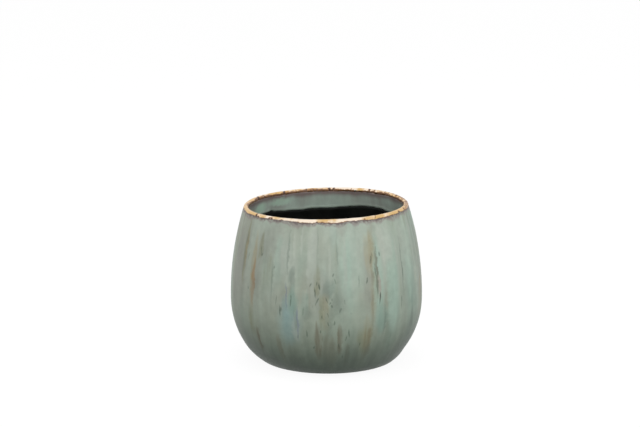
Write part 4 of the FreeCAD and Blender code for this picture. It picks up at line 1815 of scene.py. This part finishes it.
@dataclass
class FeltPads:
    """The four felt pads under the foot ring."""

    finish: FeltFinish
    radius: float = 4.5 * MM
    thickness: float = 1.2 * MM
    circle: float = 55 * MM
    first_turn: float = 45.0
    count: int = 4
    columns: int = 72
    soft: float = 0.3 * MM
    fuzz: float = 0.035 * MM

    def build(self) -> list[bpy.types.Object]:
        """Make one pad for each CAD node, its edge soft and its faces a little crowned."""
        return [self._pad(index) for index in range(1, self.count + 1)]

    def _pad(self, index: int) -> bpy.types.Object:
        """Make one pad.

        Args:
            index: its number, from 1.

        Returns:
            The pad.
        """
        draw = np.random.default_rng(70 + index)
        turn = math.radians(self.first_turn + 360 * (index - 1) / self.count)
        middle = Vector((self.circle * math.cos(turn), self.circle * math.sin(turn), 0))
        angle = ring(self.columns)
        bends = np.radians(np.linspace(-90, 0, 6)[1:])
        side = self.radius - self.soft
        section = [(share * side, 0.0) for share in np.linspace(0.12, 1, 9)]
        section += [(side + self.soft * math.cos(b), self.soft + self.soft * math.sin(b)) for b in bends]
        section += [(r, self.thickness - z) for r, z in reversed(section)]
        fuzz = draw.normal(0, self.fuzz, (len(section), self.columns))
        rows = []
        for row, (radius, height) in enumerate(section):
            edge = ease(radius, side - self.soft, side)
            out = radius - 0.06 * MM * edge + np.minimum(fuzz[row], 0.05 * MM) * edge
            crowned = 0 if height in (0.0, self.thickness) else 0.6
            rise = np.clip(height + crowned * fuzz[row], 0, self.thickness)
            place = middle.x + out * np.sin(angle), middle.y - out * np.cos(angle), rise + 0 * angle
            rows.append(np.stack(place, -1))
        poles = middle, middle + Vector((0, 0, self.thickness))
        spread = np.linspace(0.02, 0.98, len(section))
        return TurnedMesh(f"pad_{index}", np.array(rows), spread, poles, {}).build()

    def dress(self, pads: list[bpy.types.Object]) -> None:
        """Cover the pads with felt.

        Args:
            pads: the pads, in their order.
        """
        felt = self.finish.make()
        for index, pad in enumerate(pads, start=1):
            stand_in(pad, felt, f"felt_pad_{index}", Slot.FELT)


# The studio


@dataclass(frozen=True)
class Lamp:
    """A soft square lamp that looks at the pot, and that the gold doesn't mirror."""

    name: str
    place: tuple[float, float, float]
    size: float
    power: float

    def build(self, target: Vector) -> None:
        """Hang the lamp.

        Args:
            target: where it looks.
        """
        light = bpy.data.lights.new(self.name, "AREA")
        light.shape = "SQUARE"
        light.size = self.size
        light.energy = self.power
        holder = bpy.data.objects.new(self.name, light)
        holder.visible_glossy = False
        turn = (target - Vector(self.place)).to_track_quat("-Z", "Y").to_matrix()
        holder.matrix_world = Matrix.Translation(self.place) @ turn.to_4x4()
        bpy.context.scene.collection.objects.link(holder)


@dataclass(frozen=True)
class Studio:
    """The plain pale surroundings, the lamps and the camera."""

    outline: Outline
    dome: float = 0.8
    floor_glow: float = 0.93
    floor_share: float = 0.08
    floor_bounce: float = 0.05
    floor_reach: float = 30.0
    pot_height: float = 163.1 * MM
    lamps: tuple[Lamp, ...] = (
        Lamp("key", (0.42, -1.28, 1.35), 2.4, 22.5),
        Lamp("top", (-0.2, 0.2, 1.6), 1.2, 7.0),
    )
    distance: float = 2.0
    elevation: float = math.radians(13.83)
    focal_pixels: float = 1914.8
    frame_width: int = 640
    frame_height: int = 427
    target_pixel: tuple[float, float] = (326.4, 279.6)
    sensor: float = 36.0

    @property
    def target(self) -> Vector:
        """The middle of the pot's height, on its axis."""
        return Vector((0, 0, self.outline.base_edge + self.pot_height / 2))

    def build(self) -> None:
        """Set up everything round the pot."""
        self._world()
        self._floor()
        for lamp in self.lamps:
            lamp.build(self.target)
        self._camera()
        bpy.context.scene.view_settings.view_transform = "Standard"

    @staticmethod
    def _seen(graph: Graph) -> bpy.types.NodeSocket:
        """Whether a ray shows the surroundings: seen straight, in a mirror or through glass.

        Args:
            graph: a graph.

        Returns:
            1 where it does, else 0.
        """
        path = graph.add("ShaderNodeLightPath").outputs
        seen = graph.math("MAXIMUM", path["Is Camera Ray"], path["Is Glossy Ray"])
        return graph.math("MAXIMUM", seen, path["Is Transmission Ray"])

    def _world(self) -> None:
        """A dome that lights the pot softly and shows white."""
        world = bpy.data.worlds.new("studio")
        bpy.context.scene.world = world
        world.use_nodes = True
        world.node_tree.nodes.clear()
        graph = Graph(world.node_tree)
        light = graph.add("ShaderNodeBackground", (1, 1, 1, 1), self.dome).outputs[0]
        shown = graph.add("ShaderNodeBackground", (1, 1, 1, 1), 1.0).outputs[0]
        graph.add("ShaderNodeOutputWorld", graph.blend(self._seen(graph), light, shown))

    def _floor(self) -> None:
        """A floor that shows white under a soft shadow and throws little light back."""
        mesh = bpy.data.meshes.new("floor")
        sides = (-1, -1), (1, -1), (1, 1), (-1, 1)
        places = [(x * self.floor_reach, y * self.floor_reach, 0) for x, y in sides]
        mesh.from_pydata(places, [], [(0, 1, 2, 3)])
        floor = bpy.data.objects.new("floor", mesh)
        bpy.context.scene.collection.objects.link(floor)
        material, graph = empty_material("studio floor")
        dull = graph.add("ShaderNodeBsdfDiffuse", (*[self.floor_bounce] * 3, 1)).outputs[0]
        lit = graph.add("ShaderNodeBsdfDiffuse", (*[self.floor_share] * 3, 1)).outputs[0]
        glow = graph.add("ShaderNodeEmission", (*[self.floor_glow] * 3, 1)).outputs[0]
        pale = graph.add("ShaderNodeAddShader", lit, glow).outputs[0]
        graph.add("ShaderNodeOutputMaterial", graph.blend(self._seen(graph), dull, pale))
        mesh.materials.append(material)

    def _camera(self) -> None:
        """Stand the camera where the photograph was taken from, turned so that the pot lies as it did."""
        camera = bpy.data.cameras.new("camera")
        camera.sensor_width = self.sensor
        camera.lens = self.focal_pixels * self.sensor / self.frame_width
        camera.clip_end = 100.0
        back = Vector((0, -math.cos(self.elevation), math.sin(self.elevation)))
        right = (self.target_pixel[0] - self.frame_width / 2) / self.focal_pixels
        down = (self.target_pixel[1] - self.frame_height / 2) / self.focal_pixels
        straight = (-back).to_track_quat("-Z", "Y").to_matrix()
        turn = Matrix.Rotation(math.atan(right), 3, "Y") @ Matrix.Rotation(math.atan(down), 3, "X")
        holder = bpy.data.objects.new("camera", camera)
        place = Matrix.Translation(self.target + back * self.distance)
        holder.matrix_world = place @ (straight @ turn).to_4x4()
        bpy.context.scene.collection.objects.link(holder)
        bpy.context.scene.camera = holder


def main() -> None:
    """Dress the pot and set up the studio."""
    logging.basicConfig(level=logging.INFO, format="%(name)s: %(message)s")
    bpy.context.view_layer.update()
    outline, settling, edges, line = Outline(), Settling(), BandEdges(), RunLine()
    effects = Effects()
    Studio(outline).build()
    parts = (
        GlazedOutside(outline, settling, edges, CeladonFinish(effects)),
        LipBand(outline, settling, edges, GoldFinish(effects)),
        InnerCollar(outline, settling, edges, line, CollarFinish(effects)),
        DarkLining(outline, settling, line, LiningFinish()),
        ClayBody(outline, settling, ClayFinish()),
        FeltPads(FeltFinish()),
    )
    for part in parts:
        part.dress(part.build())
    bpy.context.view_layer.update()


if __name__ == "__main__":
    main()
